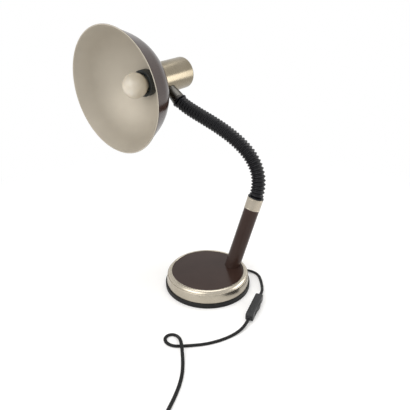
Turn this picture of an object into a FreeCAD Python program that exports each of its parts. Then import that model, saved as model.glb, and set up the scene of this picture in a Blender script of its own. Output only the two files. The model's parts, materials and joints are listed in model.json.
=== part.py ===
"""Dome shade desk lamp: a heavy round base, a leaning stem, a ribbed gooseneck and a dome shade.

Millimetres, +Z up. The origin is the centre of the base's underside, and the stem leans towards +X.
Every size is a cell of the sheet "Sizes". A Size keeps a cell's number together with its formula, so the
sketches and primitives below are bound to the sheet by the same sums that place them.
"""
import FreeCAD, Part
import math
import os
from FreeCAD import Placement, Rotation, Vector

SIZES = {
    # base, from the floor up
    "foot_ledge": 2.0, "foot_width": 9.0, "foot_height": 8.5, "foot_chamfer": 0.8,
    "felt_thickness": 1.5, "cover_thickness": 1.2, "cover_gap": 0.5,
    "plate_radius": 65.5, "plate_top": 28.5, "plate_thickness": 1.5,
    "band_overhang": 5.7, "trim_flare": 1.8, "trim_band_top": 24.0, "trim_step": 1.0,
    "lip_overlap": 2.2, "lip_flat": 2.0, "trim_lip_height": 0.8, "trim_roll": 7.0, "trim_wall": 1.2,
    "weight_side_gap": 0.6, "weight_shoulder": 21.0, "weight_gap": 0.5,
    "screw_inset": 8.0, "screw_radius": 2.0, "screw_head_radius": 3.6, "screw_length": 9.0,
    "cord_exit_azimuth": 6.0, "cord_exit_height": 5.4, "bush_length": 20.0, "bush_recess": 3.0,
    "bush_root": 4.4, "bush_tip": 3.2, "bush_flat": 2.5, "notch_width": 11.0,
    # stem
    "stem_inset": 17.76, "stem_lean": 17.32, "stem_length": 111.3, "stem_radius": 13.5, "stem_wall": 1.2,
    "stem_socket": 9.0, "plug_length_above": 6.0, "fit_gap": 0.1, "nipple_radius": 5.0, "nipple_wall": 1.4,
    "pocket_depth": 15.0, "pocket_radius": 12.0, "washer_radius": 10.0, "washer_thickness": 1.2,
    "nut_width": 14.0, "nut_thickness": 4.0, "nipple_over_nut": 1.5,
    "lower_ferrule_radius": 13.9, "lower_ferrule_length": 21.0, "spigot_length": 12.0, "ferrule_seat": 12.0,
    # gooseneck
    "neck_start_pull": 102.1, "neck_end_pull": 44.5,
    "neck_end_x": -87.25, "neck_end_y": 155.24, "neck_end_z": 141.74,
    "rib_count": 39, "rib_radius": 12.65, "rib_valley": 10.45, "collar_radius": 14.0, "collar_length": 2.0,
    "sleeve_bore": 6.0, "link_radius": 5.5, "link_bore": 3.5, "link_gap": 2.2, "link_seat": 8.0,
    # head
    "head_azimuth": 30.98, "head_tilt": 3.82, "neck_roll": 49.8, "neck_station": 115.5,
    "upper_ferrule_length": 25.4, "upper_ferrule_radius": 12.15, "upper_ferrule_cap_radius": 10.5,
    "rim_radius": 106.0, "cone_depth": 28.0, "cone_slope": 22.1, "dome_arc": 89.27, "shade_wall": 1.0,
    "bead_radius": 0.9, "shade_hole": 19.8,
    "cap_radius": 29.0, "cap_wall": 1.0, "cap_end": 175.0, "cap_crown": 1.2, "cap_corner": 4.0,
    "seat_gap": 0.3,
    "bracket_thickness": 1.5, "bracket_width": 14.0, "bracket_wall_gap": 1.5, "bracket_overlap": 8.0,
    "cap_nut_thickness": 3.0,
    # lampholder and bulb, measured along the head's axis from the rim
    "holder_front": 67.5, "holder_mouth": 2.6, "mouth_depth": 6.5, "holder_thread_radius": 19.4, "holder_radius": 23.0, "holder_bore": 14.6,
    "holder_floor": 103.0, "holder_rear": 105.0, "holder_chamfer": 2.0, "holder_spigot": 5.0,
    "shade_ring_radius": 23.5, "shade_ring_length": 14.0,
    "shell_outer": 14.4, "shell_wall": 0.5, "shell_length": 22.0, "contact_radius": 6.0,
    "contact_thickness": 1.8,
    "bulb_radius": 22.5, "bulb_centre": 50.0, "bulb_neck_radius": 12.9, "bulb_cap_start": 75.0,
    "bulb_cap_radius": 13.1, "bulb_cap_length": 21.0, "bulb_cone": 2.5, "bulb_tip_radius": 4.5,
    "bulb_tip_length": 2.4,
    # flat twin flex, switch and plug
    "flex_width": 5.2, "flex_height": 3.2, "flex_flat": 3.0,
    "switch_length": 62.2, "switch_collar": 3.0, "switch_height": 13.6, "switch_corner": 4.5,
    "switch_back": 6.5, "switch_front": 6.0, "switch_edge": 1.2, "switch_level": 7.0,
    "rocker_length": 33.0, "rocker_thickness": 8.4, "rocker_shoulder": 4.6, "rocker_crown": 3.2,
    "rocker_root": 2.4, "rocker_tilt": 5.0, "rocker_gap": 0.35, "pin_radius": 1.2, "pin_level": 3.2,
    "pin_length": 12.0, "switch_screw_spacing": 46.0, "switch_screw_radius": 2.0, "switch_screw_length": 5.0,
    "coil_outer": 32.6, "coil_pitch": 6.2, "coil_layer": 3.8, "coil_level": 2.2,
    "tie_width": 4.0, "tie_thickness": 0.5, "tie_gap": 0.6,
    "plug_length": 38.0, "plug_width": 35.3, "plug_height": 13.7, "plug_rear": 12.0, "plug_taper": 22.0,
    "plug_pin_radius": 2.0, "plug_pin_length": 19.0, "plug_pin_spacing": 19.0, "plug_level": 6.95,
}

NECK_HINGES = 6
DOME_BANDS = (0.07, 0.16, 0.27, 0.4, 0.55, 0.7, 0.85)

# Centre lines of the free flex, chosen by hand: across the floor from the tip of the base's bush, and heights
# from the floor. The last point of LEAD_2 is where the coil starts.
LEAD_1 = [(7.9, 0.8, 4.4), (14.7, -1.4, 2.8), (19.9, -6.1, 1.8), (22.8, -12.6, 1.7), (23.7, -21.1, 1.7),
          (21.3, -32.5, 1.7), (17.3, -45.5, 1.7), (11.8, -58.7, 3.4), (5.1, -72.2, 7.0)]
SWITCH_ENDS = [(-2.8, -81.2), (-47.9, -132.3)]
LEAD_2 = [(-54.3, -139.5, 7.0), (-67.6, -147.8, 3.4), (-85.1, -153.5, 1.7), (-105.6, -157.1, 1.7),
          (-127.6, -157.2, 1.7), (-148.1, -153.1, 1.7), (-164.1, -149.0, 1.7), (-175.1, -145.0, 1.7),
          (-182.4, -136.3, 1.7), (-183.1, -126.5, 1.7), (-178.0, -120.4, 1.7), (-170.0, -119.7, 1.7),
          (-164.2, -124.8, 1.9), (-163.2, -134.0, 5.6), (-163.5, -143.5, 10.2), (-164.6, -154.5, 10.2),
          (-167.0, -166.0, 5.4), (-170.4, -179.5, 1.9), (-176.0, -197.0, 1.7), (-184.6, -215.0, 1.7),
          (-197.1, -234.0, 1.7), (-210.6, -251.0, 1.8), (-221.6, -265.1, 2.2), (-234.7, -282.5, 2.2)]
TAIL = [(-241.2, -295.3, 13.6), (-246.7, -308.3, 13.6), (-248.8, -322.6, 11.5), (-247.0, -337.0, 8.5),
        (-241.1, -350.3, 7.0), (-231.8, -361.3, 6.95)]
COIL_HALF_TURNS = [3, 3, 3, 2]
RUN_SHARE = 0.45


class Size:
    """A length or angle with the formula that gives it from the sheet."""

    def __init__(self, value, formula):
        self.value = float(value)
        self.formula = formula

    def __add__(self, other):
        other = sized(other)
        return Size(self.value + other.value, f"({self.formula} + {other.formula})")

    def __sub__(self, other):
        other = sized(other)
        return Size(self.value - other.value, f"({self.formula} - {other.formula})")

    def __mul__(self, other):
        other = sized(other)
        return Size(self.value * other.value, f"({self.formula} * {other.formula})")

    def __truediv__(self, other):
        other = sized(other)
        return Size(self.value / other.value, f"({self.formula} / {other.formula})")


def sized(value):
    return value if isinstance(value, Size) else Size(value, f"{value:g}")


def sine(angle):
    return Size(math.sin(math.radians(angle.value)), f"sin({angle.formula} * 1 deg)")


def cosine(angle):
    return Size(math.cos(math.radians(angle.value)), f"cos({angle.formula} * 1 deg)")


def root(square):
    return Size(math.sqrt(square.value), f"sqrt({square.formula})")


doc = FreeCAD.newDocument("DeskLamp")
sheet = doc.addObject("Spreadsheet::Sheet", "Sizes")
for row, (word, number) in enumerate(SIZES.items(), start=1):
    sheet.set(f"A{row}", word)
    sheet.set(f"B{row}", str(number))
    sheet.setAlias(f"B{row}", word)
doc.recompute()

PIECES = {}


def dim(word):
    return Size(SIZES[word], f"Sizes.{word}")


# The base's rings follow the plate that they frame, and what sits in them follows the rings.
TRIM_BAND = dim("plate_radius") + dim("band_overhang")
TRIM_FOOT = TRIM_BAND + dim("trim_flare")
FOOT_RADIUS = TRIM_FOOT + dim("foot_ledge")
FOOT_BORE = FOOT_RADIUS - dim("foot_width")
SCREW_CIRCLE = FOOT_BORE - dim("screw_inset")
BUSH_OUTER = FOOT_RADIUS - dim("bush_recess")
BUSH_INNER = BUSH_OUTER - dim("bush_length")
STEM_OFFSET = dim("plate_radius") - dim("stem_inset")


def piece(node, feature):
    """Registers a finished sub-part under the name of its node."""
    feature.Label = node
    PIECES[node] = feature
    return feature


def frame_at(origin, z_axis, x_axis):
    """A placement at origin whose Z runs along z_axis and whose X leans towards x_axis."""
    z_axis = Vector(z_axis).normalize()
    x_axis = (x_axis - z_axis * x_axis.dot(z_axis)).normalize()
    return Placement(origin, Rotation(x_axis, z_axis.cross(x_axis), z_axis, "ZXY"))


class Bend:
    """An arc between two corners of an outline; turn is 1 where the outline turns left on it."""

    def __init__(self, radius, turn):
        self.radius = radius
        self.turn = turn


def arc_edge(start, end, bend):
    """The arc as sketch geometry, and which of its ends, 1 or 2, the outline enters and leaves by."""
    chord = end - start
    half = chord.Length / 2
    left = Vector(-chord.y, chord.x, 0).normalize()
    rise = math.sqrt(max(bend.radius.value ** 2 - half ** 2, 0.0))
    centre = (start + end) / 2 + left * rise * bend.turn
    circle = Part.Circle(centre, Vector(0, 0, 1), bend.radius.value)
    angles = [math.atan2(p.y - centre.y, p.x - centre.x) for p in (start, end)]
    if bend.turn > 0:
        return Part.ArcOfCircle(circle, angles[0], angles[1]), 1, 2
    return Part.ArcOfCircle(circle, angles[1], angles[0]), 2, 1


def bind(sketch, kind, *where, size):
    index = sketch.addConstraint(Part_constraint(kind, *where, size.value))
    sketch.setExpression(f"Constraints[{index}]", size.formula)


def Part_constraint(*words):
    import Sketcher
    return Sketcher.Constraint(*words)


def outline(body, corners, plane_role):
    """A closed outline on one of the body's own planes, every corner bound to the sheet."""
    sketch = body.newObject("Sketcher::SketchObject", body.Name + "_outline")
    plane = [datum for datum in body.Origin.OriginFeatures if datum.Role == plane_role][0]
    sketch.AttachmentSupport = [(plane, "")]
    sketch.MapMode = "FlatFace"
    points = [tuple(sized(s) for s in corner) for corner in corners if not isinstance(corner, Bend)]
    bends = {}
    for place, corner in enumerate(corners):
        if isinstance(corner, Bend):
            before = sum(1 for c in corners[:place] if not isinstance(c, Bend)) - 1
            bends[before] = corner
    spots = [Vector(x.value, y.value, 0) for x, y in points]
    ends = []
    for number, spot in enumerate(spots):
        following = spots[(number + 1) % len(spots)]
        if number in bends:
            edge, enter, leave = arc_edge(spot, following, bends[number])
        else:
            edge, enter, leave = Part.LineSegment(spot, following), 1, 2
        ends.append((sketch.addGeometry(edge), enter, leave))
    for number, (edge, enter, leave) in enumerate(ends):
        after, after_enter, _ = ends[(number + 1) % len(ends)]
        sketch.addConstraint(Part_constraint("Coincident", edge, leave, after, after_enter))
        for kind, size, axis in (("DistanceX", points[number][0], -2), ("DistanceY", points[number][1], -1)):
            if size.value == 0:
                sketch.addConstraint(Part_constraint("PointOnObject", edge, enter, axis))
            else:
                bind(sketch, kind, edge, enter, size=size)
        if number in bends:
            bind(sketch, "Radius", edge, size=bends[number].radius)
    return sketch


def turned(name, corners, place=None):
    """A body turned from an outline given as (radius, height) corners, about its own Z."""
    body = doc.addObject("PartDesign::Body", name)
    sketch = outline(body, corners, "XZ_Plane")
    spin = body.newObject("PartDesign::Revolution", name + "_turn")
    spin.Profile = sketch
    spin.ReferenceAxis = (sketch, ["V_Axis"])
    spin.Angle = 360
    body.Placement = place or Placement()
    return body


def padded(name, corners, thickness, place, plane_role="XY_Plane"):
    """A body padded from an outline by a thickness, along its plane's normal."""
    body = doc.addObject("PartDesign::Body", name)
    pad = body.newObject("PartDesign::Pad", name + "_pad")
    pad.Profile = outline(body, corners, plane_role)
    pad.setExpression("Length", thickness.formula)
    body.Placement = place
    return body


def chamfered(body, on_edge, size):
    """Chamfers the edges of the body's tip, in its own frame, that on_edge picks."""
    doc.recompute()
    tip = body.Tip
    picked = [f"Edge{n}" for n, edge in enumerate(tip.Shape.Edges, start=1) if on_edge(edge)]
    chamfer = body.newObject("PartDesign::Chamfer", body.Name + "_chamfer")
    chamfer.Base = (tip, picked)
    chamfer.setExpression("Size", size.formula)
    return body


def rod(name, radius, length, place):
    cylinder = doc.addObject("Part::Cylinder", name)
    cylinder.setExpression("Radius", radius.formula)
    cylinder.setExpression("Height", length.formula)
    cylinder.Placement = place
    return cylinder


def block(name, length, width, height, place):
    box = doc.addObject("Part::Box", name)
    for prop, size in (("Length", length), ("Width", width), ("Height", height)):
        box.setExpression(prop, size.formula)
    box.Placement = place
    return box


def cut(name, base, *tools):
    for number, tool in enumerate(tools):
        result = doc.addObject("Part::Cut", f"{name}_cut{number}")
        result.Base, result.Tool = base, tool
        base = result
    return base


def fuse(name, *parts):
    result = doc.addObject("Part::MultiFuse", name + "_fuse")
    result.Shapes = list(parts)
    return result


def hexagon_nut(name, width, thickness, bore, place):
    """A hexagon nut from z 0 up, its flats square to the frame's Y."""
    prism = doc.addObject("Part::Prism", name + "_prism")
    prism.Polygon = 6
    prism.setExpression("Circumradius", (width / (cosine(Size(30, "30")) * 2)).formula)
    prism.setExpression("Height", thickness.formula)
    prism.Placement = place
    return cut(name, prism, rod(name + "_bore", bore, thickness, place))


def shift(place, x=0.0, y=0.0, z=0.0):
    return place.multiply(Placement(Vector(x, y, z), Rotation()))


# ---------------------------------------------------------------- base

UP = Vector(0, 0, 1)
LEAN = math.radians(SIZES["stem_lean"])
STEM_AXIS = Vector(math.sin(LEAN), 0, math.cos(LEAN))
STEM_FOOT = Vector(STEM_OFFSET.value, 0, SIZES["plate_top"])
STEM_FRAME = frame_at(STEM_FOOT, STEM_AXIS, Vector(1, 0, 0))
EXIT_TURN = Rotation(UP, SIZES["cord_exit_azimuth"])
EXIT_FRAME = frame_at(EXIT_TURN.multVec(Vector(BUSH_INNER.value, 0, 0)) + UP * SIZES["cord_exit_height"],
                      EXIT_TURN.multVec(Vector(1, 0, 0)), UP)


BUSH_TIP = EXIT_FRAME.multVec(Vector(0, 0, SIZES["bush_length"]))


def laid(point, height=None):
    """A point of the flex's centre line, from where it lies on the floor and its height."""
    return Vector(BUSH_TIP.x + point[0], BUSH_TIP.y + point[1], point[2] if height is None else height)


def base():
    cover_top = dim("felt_thickness") + dim("cover_thickness")
    plate_under = dim("plate_top") - dim("plate_thickness")
    radius, height, bore = FOOT_RADIUS, dim("foot_height"), FOOT_BORE
    chamfer = dim("foot_chamfer")
    notch_place = Placement(Vector(), EXIT_TURN).multiply(Placement(
        Vector(BUSH_INNER.value, -SIZES["notch_width"] / 2, cover_top.value), Rotation()))

    foot = turned("foot_ring_body", [
        (bore, 0), (radius - chamfer, 0), (radius, chamfer), (radius, height - chamfer),
        (radius - chamfer, height), (bore, height)])
    notch = block("foot_notch", radius, dim("notch_width"), height, notch_place)
    piece("base_foot_ring", cut("foot_ring", foot, notch))

    wall, lip_top = dim("trim_wall"), dim("plate_top") + dim("trim_lip_height")
    band_top, step = dim("trim_band_top"), dim("trim_step")
    band, lip = TRIM_BAND, dim("plate_radius") - dim("lip_overlap")
    piece("base_trim_ring", turned("trim_ring", [
        (TRIM_FOOT - wall, height), (TRIM_FOOT, height), (band, band_top),
        (band - step, band_top + step * 0.6), Bend(dim("trim_roll"), 1), (lip + dim("lip_flat"), lip_top),
        (lip, lip_top), (lip, dim("plate_top")), (dim("plate_radius") + 0.3, dim("plate_top")),
        (band - step - wall, band_top), (band - wall, band_top - step)]))

    plate = turned("top_plate", [
        (0, plate_under), (dim("plate_radius") - 0.4, plate_under), (dim("plate_radius"), plate_under + 0.4),
        (dim("plate_radius"), dim("plate_top")), (0, dim("plate_top"))])
    stem_hole = dim("stem_radius") + dim("fit_gap")
    below = dim("stem_socket") + dim("stem_radius")
    plate_hole = rod("plate_hole", stem_hole, below * 2, shift(STEM_FRAME, z=-below.value))
    piece("base_top_plate", cut("plate", plate, plate_hole))

    weight_foot = cover_top + dim("weight_gap")
    flange = TRIM_BAND - wall - dim("weight_side_gap")
    body = turned("weight_body", [
        (0, weight_foot), (bore - dim("fit_gap") * 3, weight_foot), (bore - dim("fit_gap") * 3, height),
        (flange, height), (flange, dim("weight_shoulder")), (dim("plate_radius"), plate_under), (0, plate_under)])
    socket = rod("weight_socket", stem_hole, below * 2, shift(STEM_FRAME, z=-SIZES["stem_socket"]))
    nipple_hole = rod("weight_nipple_hole", dim("nipple_radius") + dim("fit_gap"), below * 2,
                      shift(STEM_FRAME, z=-below.value))
    pocket_depth = dim("plate_top")
    pocket = rod("weight_pocket", dim("pocket_radius"), pocket_depth,
                 shift(STEM_FRAME, z=-SIZES["pocket_depth"] - pocket_depth.value))
    channel = block("weight_channel", flange, dim("notch_width"), height, notch_place)
    screw_holes = screws("weight_screw_hole", dim("screw_radius"), cover_top)
    piece("base_weight", cut("weight", body, socket, nipple_hole, pocket, channel, screw_holes))

    cover_radius = bore - dim("cover_gap")
    cover = turned("cover_body", [
        (0, dim("felt_thickness")), (cover_radius, dim("felt_thickness")), (cover_radius, cover_top),
        (0, cover_top)])
    cover_holes = screws("cover_screw_hole", dim("screw_radius"), dim("felt_thickness"))
    heads = screws("cover_head_seat", dim("screw_head_radius"), dim("felt_thickness"), dim("cover_thickness") / 2)
    piece("base_cover", cut("cover", cover, cover_holes, heads))
    piece("base_felt", turned("felt", [
        (0, 0), (cover_radius, 0), (cover_radius, dim("felt_thickness")), (0, dim("felt_thickness"))]))
    shanks = screws("screw_shanks", dim("screw_radius"), dim("felt_thickness"), dim("screw_length"))
    head_disks = screws("screw_heads", dim("screw_head_radius"), dim("felt_thickness"),
                        dim("cover_thickness") / 2)
    piece("cover_screws", fuse("cover_screws", shanks, head_disks))

    length = dim("bush_length")
    bush = turned("bush_body", [(0, 0), (dim("bush_root"), 0), (dim("bush_tip"), length), (0, length)],
                  EXIT_FRAME)
    slab = block("bush_slab", dim("bush_flat") * 2, dim("notch_width"), length,
                 shift(EXIT_FRAME, x=-SIZES["bush_flat"], y=-SIZES["notch_width"] / 2))
    common = doc.addObject("Part::Common", "bush_flattened")
    common.Base, common.Tool = bush, slab
    piece("cord_bush", common)


def screws(name, radius, start, length=None):
    """Three rods on the cover's screw circle, from the height start up."""
    first = rod(name + "_first", radius, length or dim("screw_length"),
                Placement(Vector(-SCREW_CIRCLE.value, 0, start.value), Rotation()))
    ring = doc.addObject("Part::Compound", name)
    rods = [first]
    for number in (1, 2):
        turn = Rotation(UP, 120 * number)
        rods.append(rod(f"{name}_{number}", radius, length or dim("screw_length"),
                        Placement(turn.multVec(Vector(-SCREW_CIRCLE.value, 0, 0)) + UP * start.value, turn)))
    ring.Links = rods
    return ring


# ---------------------------------------------------------------- stem

def stem():
    socket, length = SIZES["stem_socket"], dim("stem_length") + dim("stem_socket")
    inner = dim("stem_radius") - dim("stem_wall")
    place = shift(STEM_FRAME, z=-socket)
    piece("stem_tube", turned("stem", [
        (inner, 0), (dim("stem_radius"), 0), (dim("stem_radius"), length), (inner, length)], place))
    plug = dim("stem_socket") + dim("plug_length_above")
    thread = dim("nipple_radius") + dim("fit_gap") / 2
    piece("stem_plug", turned("stem_plug", [
        (thread, 0), (inner - dim("fit_gap"), 0), (inner - dim("fit_gap"), plug), (thread, plug)], place))

    ceiling = dim("pocket_depth")
    nut_seat = ceiling + dim("washer_thickness")
    end = nut_seat + dim("nut_thickness") + dim("nipple_over_nut")
    nipple_length = end + dim("plug_length_above") / 2
    bore = dim("nipple_radius") - dim("nipple_wall")
    piece("stem_nipple", turned("stem_nipple", [
        (bore, 0), (dim("nipple_radius"), 0), (dim("nipple_radius"), nipple_length), (bore, nipple_length)],
        shift(STEM_FRAME, z=-end.value)))
    piece("stem_washer", turned("stem_washer", [
        (thread, 0), (dim("washer_radius"), 0), (dim("washer_radius"), dim("washer_thickness")),
        (thread, dim("washer_thickness"))], shift(STEM_FRAME, z=-nut_seat.value)))
    piece("stem_nut", hexagon_nut("stem_nut", dim("nut_width"), dim("nut_thickness"), thread,
                                  shift(STEM_FRAME, z=-(nut_seat + dim("nut_thickness")).value)))

    top = dim("lower_ferrule_length") + dim("spigot_length")
    spigot, seat = dim("spigot_length"), dim("ferrule_seat")
    bored = dim("link_radius") + dim("fit_gap")
    hollow = inner - dim("stem_wall")
    piece("lower_ferrule", turned("lower_ferrule", [
        (hollow, 0), (inner - dim("fit_gap"), 0), (inner - dim("fit_gap"), spigot),
        (dim("lower_ferrule_radius"), spigot), (dim("lower_ferrule_radius"), top), (bored, top),
        (bored, top - seat), (hollow, top - seat)],
        shift(STEM_FRAME, z=SIZES["stem_length"] - SIZES["spigot_length"])))


# ---------------------------------------------------------------- head frame and gooseneck

def direction(azimuth, elevation):
    azimuth, elevation = math.radians(azimuth), math.radians(elevation)
    return Vector(math.cos(elevation) * math.cos(azimuth), math.cos(elevation) * math.sin(azimuth),
                  math.sin(elevation))


HEAD_AXIS = direction(SIZES["head_azimuth"], SIZES["head_tilt"])
DOWN = (HEAD_AXIS * HEAD_AXIS.dot(UP) - UP).normalize()
ROLL = math.radians(SIZES["neck_roll"])
NECK_OUT = DOWN * math.cos(ROLL) + DOWN.cross(HEAD_AXIS) * math.sin(ROLL)
NECK_START = STEM_FOOT + STEM_AXIS * (SIZES["stem_length"] + SIZES["lower_ferrule_length"])
NECK_END = NECK_START + Vector(SIZES["neck_end_x"], SIZES["neck_end_y"], SIZES["neck_end_z"])
AXIS_POINT = NECK_END - NECK_OUT * (SIZES["cap_radius"] + SIZES["upper_ferrule_length"])
RIM_CENTRE = AXIS_POINT - HEAD_AXIS * SIZES["neck_station"]
HEAD_FRAME = frame_at(RIM_CENTRE, HEAD_AXIS, NECK_OUT)
FERRULE_FRAME = frame_at(AXIS_POINT, NECK_OUT, HEAD_AXIS)
STEADY = STEM_AXIS.cross(NECK_OUT * -1).normalize()


class CentreLine:
    """The gooseneck's centre line, a Bezier curve measured by its length, straight beyond both ends."""

    STEPS = 2000

    def __init__(self):
        start, end = NECK_START, NECK_END
        self.pulls = [start, start + STEM_AXIS * SIZES["neck_start_pull"],
                      end + NECK_OUT * SIZES["neck_end_pull"], end]
        self.travelled = [0.0]
        last = start
        for step in range(1, self.STEPS + 1):
            spot = self.spot(step / self.STEPS)
            self.travelled.append(self.travelled[-1] + spot.distanceToPoint(last))
            last = spot
        self.length = self.travelled[-1]

    def spot(self, t):
        a, b, c, d = self.pulls
        return a * (1 - t) ** 3 + b * (3 * t * (1 - t) ** 2) + c * (3 * t * t * (1 - t)) + d * t ** 3

    def tangent(self, t):
        a, b, c, d = self.pulls
        slope = (b - a) * (1 - t) ** 2 + (c - b) * (2 * t * (1 - t)) + (d - c) * t * t
        return slope.normalize()

    def at(self, distance):
        if distance <= 0:
            return NECK_START + STEM_AXIS * distance, Vector(STEM_AXIS)
        if distance >= self.length:
            return NECK_END - NECK_OUT * (distance - self.length), NECK_OUT * -1
        low = 0
        high = self.STEPS
        while high - low > 1:
            middle = (low + high) // 2
            if self.travelled[middle] <= distance:
                low = middle
            else:
                high = middle
        share = (distance - self.travelled[low]) / (self.travelled[high] - self.travelled[low])
        t = (low + share) / self.STEPS
        return self.spot(t), self.tangent(t)


NECK = CentreLine()


def neck_ring(distance, radius):
    """A circle square to the centre line, its seam on the steady axis."""
    spot, tangent = NECK.at(distance)
    circle = Part.makeCircle(radius)
    circle.Placement = frame_at(spot, tangent, STEADY)
    return Part.Wire([circle])


def neck_tube(stations, bore, spacing):
    """A ruled solid through (distance, radius) stations with a plain bore along the centre line."""
    skin = Part.makeLoft([neck_ring(distance, radius) for distance, radius in stations], True, True)
    start, end = stations[0][0] - 1.0, stations[-1][0] + 1.0
    count = max(2, round((end - start) / spacing))
    rings = [neck_ring(start + (end - start) * n / count, bore) for n in range(count + 1)]
    return skin.cut(Part.makeLoft(rings, True, True))


def shaped(node, shape):
    feature = doc.addObject("Part::Feature", node)
    feature.Shape = shape
    return piece(node, feature)


def sleeve_stations():
    """Collar, ribs, collar: each rib is a valley, a rise, a narrow crest and a fall."""
    collar, crest, valley = SIZES["collar_length"], SIZES["rib_radius"], SIZES["rib_valley"]
    edge = 0.3
    stations = [(0.0, SIZES["collar_radius"]), (collar, SIZES["collar_radius"]), (collar + edge, valley)]
    first = collar + edge
    pitch = (NECK.length - 2 * first) / SIZES["rib_count"]
    for rib in range(int(SIZES["rib_count"])):
        start = first + rib * pitch
        for share, radius in ((0.12, valley), (0.44, crest), (0.56, crest), (0.88, valley)):
            stations.append((start + share * pitch, radius))
    stations += [(NECK.length - first, valley), (NECK.length - collar, SIZES["collar_radius"]),
                 (NECK.length, SIZES["collar_radius"])]
    return stations


def hinge_distance(number):
    return NECK.length * number / (NECK_HINGES + 1)


def gooseneck():
    shaped("neck_sleeve", neck_tube(sleeve_stations(), SIZES["sleeve_bore"], 12.0))
    half_gap = SIZES["link_gap"] / 2
    for number in range(NECK_HINGES + 1):
        start = hinge_distance(number) + half_gap if number else -SIZES["link_seat"]
        end = hinge_distance(number + 1) - half_gap
        if number == NECK_HINGES:
            end = NECK.length + SIZES["link_seat"]
        stations = [(start + (end - start) * n / 4, SIZES["link_radius"]) for n in range(5)]
        shaped(f"neck_link_{number + 1}", neck_tube(stations, SIZES["link_bore"], 9.0))
    for number in range(1, NECK_HINGES + 1):
        spot, tangent = NECK.at(hinge_distance(number))
        bend = (STEADY - tangent * STEADY.dot(tangent)).normalize()
        axis = bend if number % 2 else tangent.cross(bend)
        print("neck hinge", number, "bend" if number % 2 else "sway",
              [round(c / 1000, 5) for c in spot], [round(c, 5) for c in axis])


# ---------------------------------------------------------------- head

def head():
    reach = dim("cap_radius") + dim("upper_ferrule_length")
    near = dim("cap_radius") - dim("cap_wall") * 2
    bored = dim("link_radius") + dim("fit_gap")
    thread = dim("nipple_radius") + dim("fit_gap") / 2
    seat_end = reach - dim("link_seat") - 2.4
    ferrule = turned("upper_ferrule_body", [
        (thread, near), (dim("upper_ferrule_cap_radius"), near),
        (dim("upper_ferrule_cap_radius"), dim("cap_radius") + 3.0),
        (dim("upper_ferrule_radius"), reach - 5.0), (dim("upper_ferrule_radius"), reach), (bored, reach),
        (bored, seat_end), (thread, seat_end)], FERRULE_FRAME)
    saddle = rod("ferrule_saddle", dim("cap_radius") + dim("seat_gap"), dim("cap_end"), HEAD_FRAME)
    piece("upper_ferrule", cut("upper_ferrule", ferrule, saddle))

    strap_out = dim("cap_radius") - dim("cap_wall") - dim("bracket_wall_gap")
    strap_in = strap_out - dim("bracket_thickness")
    nut_in = strap_in - dim("cap_nut_thickness")
    nipple_start = nut_in - dim("nipple_over_nut") / 2
    nipple_end = seat_end - 1.0
    piece("head_nipple", turned("head_nipple", [
        (dim("nipple_radius") - dim("nipple_wall"), nipple_start), (dim("nipple_radius"), nipple_start),
        (dim("nipple_radius"), nipple_end), (dim("nipple_radius") - dim("nipple_wall"), nipple_end)],
        FERRULE_FRAME))
    nut_place = shift(FERRULE_FRAME, z=nut_in.value).multiply(Placement(Vector(), Rotation(UP, 90)))
    piece("head_nut", hexagon_nut("head_nut", dim("nut_width"), dim("cap_nut_thickness"), thread, nut_place))

    foot = dim("holder_rear")
    strap_top = dim("neck_station") + dim("nut_width") / 2 + 1.0
    strap = block("bracket_strap", dim("bracket_thickness"), dim("bracket_width"), strap_top - foot,
                  shift(HEAD_FRAME, x=strap_in.value, y=-SIZES["bracket_width"] / 2, z=foot.value))
    arm = block("bracket_arm", strap_out + dim("bracket_overlap"), dim("bracket_width"), dim("bracket_thickness"),
                shift(HEAD_FRAME, x=-SIZES["bracket_overlap"], y=-SIZES["bracket_width"] / 2, z=foot.value))
    clearance = dim("nipple_radius") + dim("fit_gap")
    strap_hole = rod("bracket_strap_hole", clearance, reach, FERRULE_FRAME)
    arm_hole = rod("bracket_arm_hole", clearance, foot, shift(HEAD_FRAME, z=foot.value / 2))
    piece("head_bracket", cut("bracket", fuse("bracket", strap, arm), strap_hole, arm_hole))

    cap()
    shade()
    lampholder()
    bulb()


def cap():
    radius, wall, corner = dim("cap_radius"), dim("cap_wall"), dim("cap_corner")
    front, end, crown = shade_back() + dim("seat_gap"), dim("cap_end"), dim("cap_crown")
    shell = turned("cap_shell", [
        (radius - wall, front), (radius, front), (radius, end - corner), Bend(corner, 1),
        (radius - corner, end), (0, end + crown), (0, end + crown - wall), (radius - corner, end - wall),
        (radius - wall, end - corner)], HEAD_FRAME)
    hole = rod("cap_hole", dim("nipple_radius") + dim("fit_gap"), radius * 2, FERRULE_FRAME)
    piece("socket_cap", cut("socket_cap", shell, hole))


def cone_end():
    return dim("rim_radius") - dim("cone_depth") * sine(dim("cone_slope")) / cosine(dim("cone_slope"))


def arc_centre():
    across = cone_end() - dim("dome_arc") * cosine(dim("cone_slope"))
    along = dim("cone_depth") - dim("dome_arc") * sine(dim("cone_slope"))
    return across, along


def arc_height(radius, across_at):
    """Height along the axis of the dome's arc of this radius, at a distance from the axis."""
    across, along = arc_centre()
    reach = across_at - across
    return along + root(radius * radius - reach * reach)


def shade_back():
    """Where the dome's outer face meets the cap."""
    return arc_height(dim("dome_arc"), dim("cap_radius"))


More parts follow.
